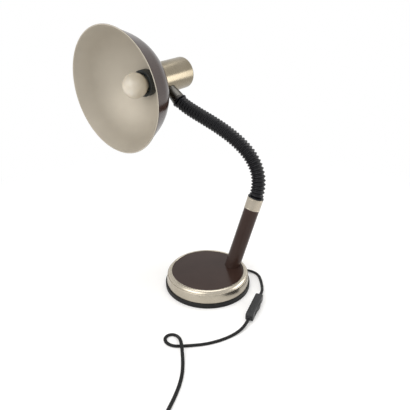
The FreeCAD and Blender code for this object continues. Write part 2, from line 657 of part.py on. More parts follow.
def shade():
    """Cone by the rim, then narrow cones along an arc that is tangent to it, then a ring round the hole."""
    wall, hole, slope = dim("shade_wall"), dim("shade_hole"), dim("cone_slope")
    outer_arc, inner_arc = dim("dome_arc"), dim("dome_arc") - wall
    turn_at, across = dim("cap_radius"), arc_centre()[0]
    outer_cone, cone_depth = cone_end(), dim("cone_depth")
    inner_cone = outer_cone - wall * cosine(slope)
    inner_depth = cone_depth - wall * sine(slope)
    inner_rim = inner_cone + inner_depth * sine(slope) / cosine(slope)
    back = shade_back()
    bead = dim("bead_radius")
    outside, inside = [], []
    for share in DOME_BANDS:
        station = outer_cone - (outer_cone - turn_at) * share
        within = across + (station - across) * inner_arc / outer_arc
        outside.append((station, arc_height(outer_arc, station)))
        inside.append((within, arc_height(inner_arc, within)))
    piece("shade_dome", turned("shade", [
        (inner_rim, 0), (dim("rim_radius") + bead, 0), (dim("rim_radius") + bead, bead * 2),
        (dim("rim_radius") - bead * 0.5, bead * 2), (outer_cone, cone_depth), *outside,
        (turn_at, back), (hole, back + wall), (hole, back), (turn_at, arc_height(inner_arc, turn_at)),
        *reversed(inside), (inner_cone, inner_depth)], HEAD_FRAME))


def lampholder():
    back = shade_back()
    front, bore, floor = dim("holder_front"), dim("holder_bore"), dim("holder_floor")
    thread, rear, chamfer = dim("holder_thread_radius"), dim("holder_rear"), dim("holder_chamfer")
    radius, shoulder = dim("holder_radius"), back + dim("shade_wall") + dim("seat_gap")
    spigot, lead = dim("nipple_radius"), dim("nipple_radius") - dim("nipple_wall")
    spigot_end = rear + dim("holder_spigot")
    piece("lampholder_body", turned("holder", [
        (bore, front + dim("mouth_depth")), (bore + dim("holder_mouth"), front), (thread, front),
        (thread, shoulder), (radius, shoulder), (radius, rear - chamfer),
        (radius - chamfer, rear), (spigot, rear), (spigot, spigot_end), (lead, spigot_end), (lead, floor),
        (bore, floor)], HEAD_FRAME))
    foot = dim("holder_rear") + dim("bracket_thickness")
    piece("lampholder_nut", hexagon_nut("holder_nut", dim("nut_width"), dim("cap_nut_thickness"),
                                        dim("nipple_radius") + dim("fit_gap") / 2,
                                        shift(HEAD_FRAME, z=foot.value)))
    ring_end = arc_height(dim("dome_arc") - dim("shade_wall"), dim("cap_radius"))
    ring_start = ring_end - dim("shade_ring_length")
    ring_bore, ring_radius = thread + dim("fit_gap") * 2, dim("shade_ring_radius")
    piece("lampholder_ring", turned("holder_ring", [
        (ring_bore, ring_start), (ring_radius - 1.0, ring_start), (ring_radius, ring_start + 1.0),
        (ring_radius, ring_end), (ring_bore, ring_end)], HEAD_FRAME))
    shell, shell_end = dim("shell_outer"), floor - dim("contact_thickness") * 2
    piece("thread_shell", turned("thread_shell", [
        (shell - dim("shell_wall"), shell_end - dim("shell_length")), (shell, shell_end - dim("shell_length")),
        (shell, shell_end), (shell - dim("shell_wall"), shell_end)], HEAD_FRAME))
    contact = floor - dim("contact_thickness")
    piece("centre_contact", turned("centre_contact", [
        (0, contact), (dim("contact_radius"), contact), (dim("contact_radius"), floor), (0, floor)],
        HEAD_FRAME))


def bulb():
    """A golf-ball bulb: the glass is turned in a few cones that follow its sphere."""
    radius, centre = dim("bulb_radius"), dim("bulb_centre")
    start, cap_radius = dim("bulb_cap_start"), dim("bulb_cap_radius")
    sphere = [(0, centre - radius)]
    for angle in (22, 44, 66, 88, 110, 130):
        turn = Size(angle, str(angle))
        sphere.append((radius * sine(turn), centre - radius * cosine(turn)))
    piece("bulb_glass", turned("bulb_glass", sphere + [(dim("bulb_neck_radius"), start), (0, start)], HEAD_FRAME))
    thread_end = start + dim("bulb_cap_length")
    tip = thread_end + dim("bulb_cone")
    piece("bulb_screw_cap", turned("bulb_cap", [
        (0, start), (cap_radius, start), (cap_radius, thread_end), (dim("bulb_tip_radius") * 2, tip), (0, tip)],
        HEAD_FRAME))
    tip_end = tip + dim("bulb_tip_length")
    piece("bulb_contact", turned("bulb_contact", [
        (0, tip), (dim("bulb_tip_radius"), tip), (dim("bulb_tip_radius") / 2, tip_end), (0, tip_end)],
        HEAD_FRAME))


# ---------------------------------------------------------------- flex

def flex_section(start, heading):
    """The flat twin flex's outline, lying on its wide side, square to heading."""
    half_width, half_height, half_flat = (SIZES[w] / 2 for w in ("flex_width", "flex_height", "flex_flat"))
    heading = Vector(heading).normalize()
    across = UP.cross(heading).normalize()
    above = heading.cross(across)
    corners = [(half_width, 0), (half_flat, half_height), (-half_flat, half_height), (-half_width, 0),
               (-half_flat, -half_height), (half_flat, -half_height)]
    points = [start + across * x + above * y for x, y in corners]
    return Part.makePolygon(points + points[:1])


def section_area():
    return SIZES["flex_height"] * (SIZES["flex_width"] + SIZES["flex_flat"]) / 2


def rounded_path(points):
    """Straight runs joined by tangent arcs, each as large as its two runs allow."""
    edges, radii, last = [], [], points[0]
    for before, corner, after in zip(points, points[1:], points[2:]):
        arriving, leaving = (corner - before), (after - corner)
        turn = arriving.getAngle(leaving)
        setback = RUN_SHARE * min(arriving.Length, leaving.Length)
        radii.append(setback / math.tan(turn / 2))
        start = corner - Vector(arriving).normalize() * setback
        end = corner + Vector(leaving).normalize() * setback
        inward = (start + end) / 2 - corner
        middle = corner + Vector(inward).normalize() * (
            math.hypot(radii[-1], setback) - radii[-1])
        edges.append(Part.LineSegment(last, start).toShape())
        edges.append(Part.Arc(start, middle, end).toShape())
        last = end
    edges.append(Part.LineSegment(last, points[-1]).toShape())
    return Part.Wire(edges), radii


def flex_run(node, points):
    path, radii = rounded_path(points)
    tube = path.makePipeShell([flex_section(points[0], points[1] - points[0])], True, False)
    print(node, "length", round(path.Length, 1), "least radius", round(min(radii), 1),
          "radii", [round(r, 1) for r in radii])
    print(node, "volume over section times length", round(tube.Volume / (section_area() * path.Length), 4))
    return shaped(node, tube)


def leads():
    first, second = (laid(point, SIZES["switch_level"]) for point in SWITCH_ENDS)
    flex_run("cord_lead_1", [BUSH_TIP] + [laid(p) for p in LEAD_1] + [first])
    flex_run("cord_lead_2", [second] + [laid(p) for p in LEAD_2])
    flex_run("cord_lead_3", [coil_stops()[-1][0]] + [laid(p) for p in TAIL])


def coil_centre():
    """The coil's centre, square to the left of the lead where it arrives."""
    arriving = laid(LEAD_2[-1]) - laid(LEAD_2[-2])
    left = Vector(-arriving.y, arriving.x, 0).normalize()
    return laid(LEAD_2[-1]) + left * SIZES["coil_outer"], left * -1


def coil_stops():
    """Where the turns cross one diameter of the coil: (point, tangent), a half turn apart."""
    centre, outward = coil_centre()
    radius, level, inwards, stops = SIZES["coil_outer"], 0, True, []
    half_turns = 0

    def stop():
        way = outward * (1 if half_turns % 2 == 0 else -1)
        spot = centre + way * radius + UP * (level * SIZES["coil_layer"])
        stops.append((spot, UP.cross(way)))

    stop()
    for layer, count in enumerate(COIL_HALF_TURNS):
        if layer:
            level += 1
            half_turns += 1
            inwards = not inwards
            stop()
        for _ in range(count):
            radius += SIZES["coil_pitch"] / 2 * (-1 if inwards else 1)
            half_turns += 1
            stop()
    return stops


def biarc(start, start_way, end, end_way):
    """Two arcs that leave start along start_way, arrive at end along end_way and meet smoothly."""
    chord, ways = end - start, start_way + end_way
    product = 2 * (1 - start_way.dot(end_way))
    reach = (math.sqrt(chord.dot(ways) ** 2 + product * chord.dot(chord)) - chord.dot(ways)) / product
    joint = (start + start_way * reach + end - end_way * reach) / 2
    edges = []
    for here, way, there in ((start, start_way, joint), (end, end_way * -1, joint)):
        span = there - here
        side = way - span * (way.dot(span) / span.dot(span))
        rise = span.Length / 2 * math.tan(way.getAngle(span) / 2)
        edges.append(Part.Arc(here, (here + there) / 2 + side.normalize() * rise, there).toShape())
    return edges


def coil():
    stops = coil_stops()
    edges = []
    for (start, start_way), (end, end_way) in zip(stops, stops[1:]):
        edges += biarc(start, start_way, end, end_way)
    path = Part.Wire(Part.__sortEdges__(edges))
    turns = path.makePipeShell([flex_section(stops[0][0], stops[0][1])], True, False)
    shaped("cord_coil", turns)
    print("cord_coil length", round(path.Length, 1), "turns", (len(stops) - 1) / 2,
          "volume over section times length", round(turns.Volume / (section_area() * path.Length), 4))
    print("cord_coil least gap to itself", round(least_gap(path), 2))
    centre, outward = coil_centre()
    tie(centre, outward)
    return path.Length


def least_gap(path):
    """Least gap between two stretches of the coil, from points along it and the section's six sides."""
    half_width, half_height, half_flat = (SIZES[w] / 2 for w in ("flex_width", "flex_height", "flex_flat"))
    slope = Vector(half_height, half_width - half_flat, 0)
    sides = [(slope.x / slope.Length, slope.y / slope.Length, half_width * slope.x / slope.Length),
             (0.0, 1.0, half_height)]
    step = 2.0
    points = path.discretize(Distance=step)
    apart = int(math.pi * SIZES["coil_outer"] / step)
    least = 1e9
    for first, here in enumerate(points):
        for there in points[first + apart:]:
            across, rise = math.hypot(there.x - here.x, there.y - here.y), abs(there.z - here.z)
            if across < 3 * half_width:
                least = min(least, max(a * across + b * rise - 2 * reach for a, b, reach in sides))
    return least


def tie(centre, outward):
    """A flat band round all the turns at one place of the coil."""
    gap, thick, width = SIZES["tie_gap"], dim("tie_thickness"), dim("tie_width")
    half_flex = SIZES["flex_width"] / 2
    inner = SIZES["coil_outer"] - SIZES["coil_pitch"] / 2 * COIL_HALF_TURNS[0] - half_flex - gap
    band_length = (dim("coil_pitch") / 2 * COIL_HALF_TURNS[0]) + dim("flex_width") + dim("tie_gap") * 2
    band_height = dim("coil_layer") * (len(COIL_HALF_TURNS) - 1) + dim("flex_height") + dim("tie_gap") * 2
    low = SIZES["coil_level"] - SIZES["flex_height"] / 2 - gap
    side = UP.cross(outward)
    place = frame_at(Vector(centre.x, centre.y, 0) + UP * low + side * inner, UP, side)
    hole = block("tie_hole", band_length, width * 2, band_height, shift(place, y=-width.value))
    band = block("tie_band", band_length + thick * 2, width, band_height + thick * 2,
                 shift(place, x=-thick.value, y=-width.value / 2, z=-thick.value))
    piece("coil_tie", cut("coil_tie", band, hole))


# ---------------------------------------------------------------- switch and plug

def rounded_box(width, height, corner):
    """A rounded rectangle from the origin, as an outline."""
    return [(corner, 0), (width - corner, 0), Bend(corner, 1), (width, corner), (width, height - corner),
            Bend(corner, 1), (width - corner, height), (corner, height), Bend(corner, 1),
            (0, height - corner), (0, corner), Bend(corner, 1)]


def switch():
    first, second = (laid(point, SIZES["switch_level"]) for point in SWITCH_ENDS)
    along = (second - first).normalize()
    middle = (first + second) / 2
    side = UP.cross(along)
    place = Placement(middle, Rotation(along, side, UP, "ZXY"))
    length, height, corner = dim("switch_length"), dim("switch_height"), dim("switch_corner")
    back, front = dim("switch_back"), dim("switch_front")
    corner_at = {"x": -SIZES["switch_length"] / 2, "z": -SIZES["switch_height"] / 2}
    window_length = dim("rocker_length") + dim("rocker_gap") * 4
    window_width = dim("rocker_thickness") + dim("rocker_gap") * 2
    pin_hole = dim("pin_radius") + dim("fit_gap") / 2
    spacing = SIZES["switch_screw_spacing"]
    flat = Rotation(Vector(1, 0, 0), 90)

    def on_outer_face(edge):
        ends = edge.Vertexes
        return all(abs(v.Y + SIZES["switch_back"]) < 1e-3 for v in ends)

    def on_front_face(edge):
        return all(abs(v.Y) < 1e-3 for v in edge.Vertexes)

    lower = chamfered(padded("switch_lower", rounded_box(length, height, corner), back,
                             shift(place, **corner_at), "XZ_Plane"), on_outer_face, dim("switch_edge"))
    screw_seats = [rod(f"switch_screw_seat_{n}", dim("switch_screw_radius") + dim("fit_gap"),
                       dim("switch_screw_length"),
                       shift(place, x=spacing * n / 2, y=-SIZES["switch_back"] + SIZES["switch_screw_length"])
                       .multiply(Placement(Vector(), flat))) for n in (-1, 1)]
    piece("switch_lower_housing", cut("switch_lower", lower, *screw_seats))
    screw_rods = [rod(f"switch_screw_{n}", dim("switch_screw_radius"),
                      dim("switch_screw_length") - dim("switch_edge") / 2,
                      shift(place, x=spacing * n / 2, y=-SIZES["switch_back"] + SIZES["switch_screw_length"])
                      .multiply(Placement(Vector(), flat))) for n in (-1, 1)]
    screw_pair = doc.addObject("Part::Compound", "switch_screw_pair")
    screw_pair.Links = screw_rods
    piece("switch_screws", screw_pair)

    upper = chamfered(padded("switch_upper", rounded_box(length, height, corner), front,
                             shift(place, y=SIZES["switch_front"], **corner_at), "XZ_Plane"),
                      on_front_face, dim("switch_edge"))
    window = block("switch_window", window_length, front * 2, window_width,
                   shift(place, x=-window_length.value / 2, y=-front.value / 2, z=-window_width.value / 2))
    pin_seat = rod("switch_pin_seat", pin_hole, dim("pin_length"),
                   shift(place, y=SIZES["pin_level"], z=-SIZES["pin_length"] / 2))
    collars = []
    for way in (-1, 1):
        collars.append(rod(f"switch_collar_{way}", dim("flex_width") * 0.75, dim("switch_collar"),
                           shift(place, x=way * SIZES["switch_length"] / 2).multiply(
                               Placement(Vector(), Rotation(Vector(0, 1, 0), 90 * way)))))
    housing = cut("switch_upper", upper, window, pin_seat)
    piece("switch_upper_housing", fuse("switch_upper", housing, *collars))

    rocker_length, shoulder = dim("rocker_length"), dim("rocker_shoulder")
    rise = dim("rocker_crown")
    crown = (rocker_length * rocker_length / 4 + rise * rise) / (rise * 2)
    low = dim("pin_level") - dim("rocker_root")
    tilt = place.multiply(Placement(Vector(0, SIZES["pin_level"], 0), Rotation(UP, -SIZES["rocker_tilt"])))
    rocker = padded("rocker_body", [
        (rocker_length / 3, 0), (rocker_length * 2 / 3, 0), (rocker_length, dim("rocker_root")),
        (rocker_length, shoulder - low), Bend(crown, 1), (0, shoulder - low), (0, dim("rocker_root"))],
        dim("rocker_thickness"),
        shift(tilt, x=-SIZES["rocker_length"] / 2, y=-SIZES["rocker_root"], z=-SIZES["rocker_thickness"] / 2))
    rocker_hole = rod("rocker_hole", pin_hole, dim("pin_length"), shift(tilt, z=-SIZES["pin_length"] / 2))
    piece("switch_rocker", cut("rocker", rocker, rocker_hole))
    piece("rocker_pin", rod("rocker_pin", dim("pin_radius"), dim("pin_length"),
                            shift(place, y=SIZES["pin_level"], z=-SIZES["pin_length"] / 2)))
    pin_spot = place.multVec(Vector(0, SIZES["pin_level"], 0))
    print("rocker hinge", [round(c / 1000, 5) for c in pin_spot])


def plug():
    """A flat two-pin plug lying on its wide side, at the end of the tail."""
    end, before = laid(TAIL[-1]), laid(TAIL[-2])
    heading = Vector(end.x - before.x, end.y - before.y, 0)
    place = frame_at(Vector(end.x, end.y, SIZES["plug_level"]), UP, heading)
    half, width, length = dim("plug_width") / 2, dim("plug_width"), dim("plug_length")
    rear_half = dim("flex_width")
    body = padded("plug_pad", [
        (0, half - rear_half), (dim("plug_rear"), half - rear_half), (dim("plug_taper"), 0), (length, 0),
        (length, width), (dim("plug_taper"), width), (dim("plug_rear"), half + rear_half),
        (0, half + rear_half)], dim("plug_height"),
        shift(place, y=-half.value, z=-SIZES["plug_height"] / 2))
    piece("plug_body", body)
    pins = doc.addObject("Part::Compound", "plug_pin_pair")
    pins.Links = [rod(f"plug_pin_{way}", dim("plug_pin_radius"), dim("plug_pin_length"),
                      shift(place, x=SIZES["plug_length"], y=way * SIZES["plug_pin_spacing"] / 2).multiply(
                          Placement(Vector(), Rotation(Vector(0, 1, 0), 90)))) for way in (-1, 1)]
    piece("plug_pins", pins)


def check_and_write():
    doc.recompute()
    faults = [f"{o.Name}: {o.State}" for o in doc.Objects if {"Invalid", "Error"} & set(o.State)]
    for node, feature in PIECES.items():
        shape = feature.Shape
        if shape.isNull() or not shape.isValid() or not shape.Solids:
            faults.append(f"{node}: shape null or not valid")
    if faults:
        raise RuntimeError("; ".join(faults))
    os.makedirs("parts", exist_ok=True)
    for node, feature in PIECES.items():
        feature.Shape.exportStep(f"parts/{node}.step")
    print(len(PIECES), "pieces")


base()
stem()
gooseneck()
head()
leads()
coil()
switch()
plug()
check_and_write()
print("head axis", [round(c, 5) for c in HEAD_AXIS], "rim centre", [round(c, 2) for c in RIM_CENTRE])
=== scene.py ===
"""Looks of the dome shade desk lamp, in metres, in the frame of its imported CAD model.

The lamp stands on z = 0 at the origin, with its stem leaning towards +X.
"""
import json
import math

import bmesh
import bpy
from mathutils import Matrix, Vector

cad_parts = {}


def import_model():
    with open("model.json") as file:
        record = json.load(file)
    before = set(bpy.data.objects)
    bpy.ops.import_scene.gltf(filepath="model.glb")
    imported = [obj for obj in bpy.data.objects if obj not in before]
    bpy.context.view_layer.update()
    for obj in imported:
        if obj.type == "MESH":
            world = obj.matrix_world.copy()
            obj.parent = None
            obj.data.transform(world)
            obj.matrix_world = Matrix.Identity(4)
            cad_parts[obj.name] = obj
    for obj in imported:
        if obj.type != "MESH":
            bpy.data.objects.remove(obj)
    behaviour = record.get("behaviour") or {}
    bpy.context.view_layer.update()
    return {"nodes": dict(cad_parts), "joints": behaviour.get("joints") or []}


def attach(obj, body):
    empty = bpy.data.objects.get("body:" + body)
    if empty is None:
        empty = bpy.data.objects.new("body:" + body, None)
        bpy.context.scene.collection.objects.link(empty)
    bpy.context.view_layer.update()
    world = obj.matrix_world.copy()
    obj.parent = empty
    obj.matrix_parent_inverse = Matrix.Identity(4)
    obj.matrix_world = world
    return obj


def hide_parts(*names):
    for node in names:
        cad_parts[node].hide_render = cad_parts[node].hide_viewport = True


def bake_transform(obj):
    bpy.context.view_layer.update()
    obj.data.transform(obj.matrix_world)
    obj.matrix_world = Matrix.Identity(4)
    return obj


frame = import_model()

UP = Vector((0, 0, 1))

# The lamp's main lines, the same as in the CAD source.
STEM_FOOT = Vector((0.04774, 0, 0.0285))
STEM_LEAN = math.radians(17.32)
STEM_AXIS = Vector((math.sin(STEM_LEAN), 0, math.cos(STEM_LEAN)))
STEM_LENGTH = 0.1113
LOWER_FERRULE_LENGTH = 0.021
LOWER_FERRULE_RADIUS = 0.0139
NECK_START = STEM_FOOT + STEM_AXIS * (STEM_LENGTH + LOWER_FERRULE_LENGTH)
NECK_END = NECK_START + Vector((-0.08725, 0.15524, 0.14174))
NECK_START_PULL = 0.1021
NECK_END_PULL = 0.0445
RIBS = 39
RIB_RADIUS = 0.01265
RIB_VALLEY = 0.0100
COLLAR_RADIUS = 0.014
COLLAR_LENGTH = 0.002

HEAD_AXIS = -Vector(next(j["axis"] for j in frame["joints"] if j["name"] == "bulb_out")).normalized()
HEAD_DOWN = (HEAD_AXIS * HEAD_AXIS.z - UP).normalized()
NECK_ROLL = math.radians(49.8)
NECK_OUT = HEAD_DOWN * math.cos(NECK_ROLL) + HEAD_DOWN.cross(HEAD_AXIS) * math.sin(NECK_ROLL)
NECK_STATION = 0.1155
CAP_RADIUS = 0.029
UPPER_FERRULE_LENGTH = 0.0254
RIM_CENTRE = NECK_END - NECK_OUT * (CAP_RADIUS + UPPER_FERRULE_LENGTH) - HEAD_AXIS * NECK_STATION

# ---------------------------------------------------------------- camera

PHOTO_SIDE = 410
FOCAL_PIXELS = 454
camera_data = bpy.data.cameras.new("camera")
camera_data.sensor_width = 36
camera_data.lens = FOCAL_PIXELS / PHOTO_SIDE * camera_data.sensor_width
camera = bpy.data.objects.new("camera", camera_data)
camera.location = (-0.23075, -0.64210, 0.47498)
camera.rotation_euler = (math.radians(64.86), 0, math.radians(-19.358))
bpy.context.scene.collection.objects.link(camera)
bpy.context.scene.camera = camera


# ---------------------------------------------------------------- mesh helpers

def axes(origin, z_axis, x_axis):
    """A frame at origin whose Z runs along z_axis and whose X leans towards x_axis."""
    z_axis = z_axis.normalized()
    x_axis = (x_axis - z_axis * x_axis.dot(z_axis)).normalized()
    matrix = Matrix((x_axis, z_axis.cross(x_axis), z_axis)).transposed().to_4x4()
    matrix.translation = origin
    return matrix


def mesh_object(name, vertices, faces, materials, face_materials=None, sharp=35):
    mesh = bpy.data.meshes.new(name)
    mesh.from_pydata([tuple(v) for v in vertices], [], faces)
    for material in materials:
        mesh.materials.append(material)
    if face_materials:
        mesh.polygons.foreach_set("material_index", face_materials)
    mesh.validate()
    bm = bmesh.new()
    bm.from_mesh(mesh)
    bmesh.ops.recalc_face_normals(bm, faces=bm.faces)
    bm.to_mesh(mesh)
    bm.free()
    mesh.shade_smooth()
    mesh.set_sharp_from_angle(angle=math.radians(sharp))
    obj = bpy.data.objects.new(name, mesh)
    bpy.context.scene.collection.objects.link(obj)
    return obj


def rounded(corners, steps=5):
    """An outline of (x, y) or (x, y, radius) corners, with an arc at each corner that has a radius."""
    points = []
    count = len(corners)
    for number, corner in enumerate(corners):
        here = Vector(corner[:2])
        radius = corner[2] if len(corner) > 2 else 0
        if not radius:
            points.append(here)
            continue
        back = (Vector(corners[number - 1][:2]) - here).normalized()
        ahead = (Vector(corners[(number + 1) % count][:2]) - here).normalized()
        half = back.angle(ahead) / 2
        centre = here + (back + ahead).normalized() * radius / math.sin(half)
        start = here + back * radius / math.tan(half) - centre
        turn = math.pi - 2 * half
        if back.x * ahead.y - back.y * ahead.x > 0:
            turn = -turn
        for step in range(steps + 1):
            angle = turn * step / steps
            points.append(centre + Vector((start.x * math.cos(angle) - start.y * math.sin(angle),
                                           start.x * math.sin(angle) + start.y * math.cos(angle))))
    return points


def arc(centre, radius, start, end, steps):
    """Points on an arc, angles in degrees."""
    return [Vector((centre[0] + radius * math.cos(math.radians(start + (end - start) * n / steps)),
                    centre[1] + radius * math.sin(math.radians(start + (end - start) * n / steps))))
            for n in range(steps + 1)]


def lathe(name, outline, place, materials, around=96, inner=None, closed=True, sharp=35):
    """A solid turned from (radius, height) points.

    inner tells the outline's bands that have the second material.
    """
    vertices, faces, kinds = [], [], []
    for point in outline:
        for n in range(around):
            angle = 2 * math.pi * n / around
            vertices.append(place @ Vector((point[0] * math.cos(angle), point[0] * math.sin(angle), point[1])))
    count = len(outline)
    for band in range(count if closed else count - 1):
        following = (band + 1) % count
        for n in range(around):
            after = (n + 1) % around
            faces.append((band * around + n, band * around + after, following * around + after,
                          following * around + n))
            kinds.append(1 if inner and inner(band) else 0)
    obj = mesh_object(name, vertices, faces, materials, kinds, sharp)
    merge(obj)
    return obj


def merge(obj, distance=1e-6):
    """Merges the points that a lathe puts on its axis."""
    bm = bmesh.new()
    bm.from_mesh(obj.data)
    bmesh.ops.remove_doubles(bm, verts=bm.verts, dist=distance)
    bmesh.ops.recalc_face_normals(bm, faces=bm.faces)
    bm.to_mesh(obj.data)
    bm.free()


def sweep(name, path, section, material, across):
    """A tube with a flat section along a path; across gives the section's x direction from a tangent."""
    vertices, faces = [], []
    size = len(section)
    for number, spot in enumerate(path):
        before = path[max(number - 1, 0)]
        after = path[min(number + 1, len(path) - 1)]
        tangent = (after - before).normalized()
        side = across(tangent)
        above = tangent.cross(side)
        vertices += [spot + side * x + above * y for x, y in section]
    for ring in range(len(path) - 1):
        for n in range(size):
            after = (n + 1) % size
            faces.append((ring * size + n, ring * size + after, (ring + 1) * size + after, (ring + 1) * size + n))
    faces.append(tuple(range(size)))
    faces.append(tuple(range((len(path) - 1) * size, len(path) * size)))
    return mesh_object(name, vertices, faces, [material], sharp=50)


def skin(name, rings, materials, face_materials=None, sharp=35, ends=(True, True)):
    """A closed skin through rings of equally many points, capped at both ends."""
    size = len(rings[0])
    vertices = [point for ring in rings for point in ring]
    faces, kinds = [], []
    for number in range(len(rings) - 1):
        for n in range(size):
            after = (n + 1) % size
            faces.append((number * size + n, number * size + after, (number + 1) * size + after,
                          (number + 1) * size + n))
            kinds.append(face_materials[number] if face_materials else 0)
    if ends[0]:
        faces.append(tuple(range(size)))
        kinds.append(face_materials[0] if face_materials else 0)
    if ends[1]:
        faces.append(tuple(range(len(vertices) - size, len(vertices))))
        kinds.append(face_materials[-1] if face_materials else 0)
    return mesh_object(name, vertices, faces, materials, kinds, sharp)


def ring_points(place, radius, height, around, wave=None):
    """A circle of points square to the frame's Z; wave(angle) is added to its radius."""
    points = []
    for n in range(around):
        angle = 2 * math.pi * n / around
        reach = radius + (wave(angle) if wave else 0)
        points.append(place @ Vector((reach * math.cos(angle), reach * math.sin(angle), height)))
    return points


def rounded_rectangle(half_x, half_y, corner, steps=5):
    """Points round a rectangle with quarter circles at its corners."""
    points = []
    for turn, (sx, sy) in enumerate(((1, 1), (-1, 1), (-1, -1), (1, -1))):
        points += arc((sx * (half_x - corner), sy * (half_y - corner)), corner, 90 * turn, 90 * turn + 90, steps)
    return points


def edge_rounding(radius, steps=4):
    """(how far in, how far up) along a quarter circle that rounds an edge over."""
    return [(radius * (1 - math.cos(math.pi / 2 * n / steps)), radius * math.sin(math.pi / 2 * n / steps))
            for n in range(steps + 1)]


def carve(obj, *cutters):
    """Cuts the cutters out of a piece and clears them away."""
    for cutter in cutters:
        change = obj.modifiers.new("carve", "BOOLEAN")
        change.operation = "DIFFERENCE"
        change.solver = "EXACT"
        change.object = cutter
    bpy.context.view_layer.update()
    shape = bpy.data.meshes.new_from_object(obj.evaluated_get(bpy.context.evaluated_depsgraph_get()))
    obj.modifiers.clear()
    obj.data = shape
    obj.data.shade_smooth()
    obj.data.set_sharp_from_angle(angle=math.radians(35))
    for cutter in cutters:
        bpy.data.objects.remove(cutter)


def stand_for(piece, body, slot, *nodes):
    """Hides CAD nodes and puts the piece that takes their place on a body."""
    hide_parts(*nodes)
    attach(piece, body)
    return piece


# ---------------------------------------------------------------- materials

def node_material(name):
    material = bpy.data.materials.new(name)
    material.use_nodes = True
    nodes = material.node_tree.nodes
    return material, nodes, material.node_tree.links, nodes["Principled BSDF"]


def noise(nodes, links, scale, detail=3, stretch=(1, 1, 1), coordinates=None):
    """Noise in the object's own coordinates, in cycles per metre, stretched where stretch is small."""
    place = nodes.new("ShaderNodeMapping")
    place.inputs["Scale"].default_value = stretch
    if coordinates is None:
        coordinates = nodes.new("ShaderNodeTexCoord").outputs["Object"]
    links.new(coordinates, place.inputs["Vector"])
    texture = nodes.new("ShaderNodeTexNoise")
    texture.inputs["Scale"].default_value = scale
    texture.inputs["Detail"].default_value = detail
    links.new(place.outputs["Vector"], texture.inputs["Vector"])
    return texture.outputs["Fac"]


def spread(nodes, links, value, low, high):
    """Maps noise from its usual 0.3 to 0.7 onto low to high."""
    scaled = nodes.new("ShaderNodeMapRange")
    scaled.inputs["From Min"].default_value = 0.3
    scaled.inputs["From Max"].default_value = 0.7
    scaled.inputs["To Min"].default_value = low
    scaled.inputs["To Max"].default_value = high
    links.new(value, scaled.inputs["Value"])
    return scaled.outputs["Result"]


def blend_colours(nodes, links, value, first, second):
    mix = nodes.new("ShaderNodeMix")
    mix.data_type = "RGBA"
    mix.inputs["A"].default_value = (*first, 1)
    mix.inputs["B"].default_value = (*second, 1)
    links.new(value, mix.inputs["Factor"])
    return mix.outputs["Result"]


def bump(nodes, links, shader, height, depth, strength=0.5):
    relief = nodes.new("ShaderNodeBump")
    relief.inputs["Strength"].default_value = strength
    relief.inputs["Distance"].default_value = depth
    links.new(height, relief.inputs["Height"])
    links.new(relief.outputs["Normal"], shader.inputs["Normal"])


def plain(name, colour, second, roughness, metallic=0.0, grain=900, depth=0.00003, stretch=(1, 1, 1),
          roughness_spread=0.06, specular=0.5, coat=0.0, strength=0.4):
    """A finish whose colour drifts between two tones and whose roughness and relief vary finely."""
    material, nodes, links, shader = node_material(name)
    drift = spread(nodes, links, noise(nodes, links, 18, 2), 0, 1)
    links.new(blend_colours(nodes, links, drift, colour, second), shader.inputs["Base Color"])
    fine = noise(nodes, links, grain, 4, stretch)
    links.new(spread(nodes, links, fine, roughness - roughness_spread, roughness + roughness_spread),
              shader.inputs["Roughness"])
    shader.inputs["Metallic"].default_value = metallic
    shader.inputs["Specular IOR Level"].default_value = specular
    shader.inputs["Coat Weight"].default_value = coat
    shader.inputs["Coat Roughness"].default_value = 0.08
    bump(nodes, links, shader, fine, depth, strength)
    return material


def enamel():
    """Brown stoved enamel: a deep gloss with a faint orange peel."""
    return plain("brown_enamel", (0.032, 0.017, 0.013), (0.040, 0.022, 0.017), 0.20, grain=260, depth=0.00004,
                 roughness_spread=0.05, specular=0.22, coat=0.0, strength=0.15)


def brushed(name, colour, second, roughness, axis_frame, along):
    """Brushed plated metal: fine lines that run round the axis, so the streaks vary only along it."""
    material, nodes, links, shader = node_material(name)
    coordinates = nodes.new("ShaderNodeTexCoord").outputs["Object"]
    turned = nodes.new("ShaderNodeMapping")
    turned.vector_type = "TEXTURE"
    turned.inputs["Location"].default_value = axis_frame.translation
    turned.inputs["Rotation"].default_value = axis_frame.to_euler()
    links.new(coordinates, turned.inputs["Vector"])
    lines = noise(nodes, links, 4200, 3, along, turned.outputs["Vector"])
    drift = spread(nodes, links, noise(nodes, links, 30, 2), 0, 1)
    links.new(blend_colours(nodes, links, drift, colour, second), shader.inputs["Base Color"])
    links.new(spread(nodes, links, lines, roughness - 0.04, roughness + 0.06), shader.inputs["Roughness"])
    shader.inputs["Metallic"].default_value = 1.0
    shader.inputs["Anisotropic"].default_value = 0.5
    bump(nodes, links, shader, lines, 0.000006, 0.3)
    return material


HEAD_FRAME = axes(RIM_CENTRE, HEAD_AXIS, NECK_OUT)
STEM_FRAME = axes(STEM_FOOT, STEM_AXIS, Vector((1, 0, 0)))
FERRULE_FRAME = axes(NECK_END, NECK_OUT, HEAD_AXIS)
BASE_FRAME = Matrix.Identity(4)
ROUND_LINES = (0.02, 0.02, 1.0)

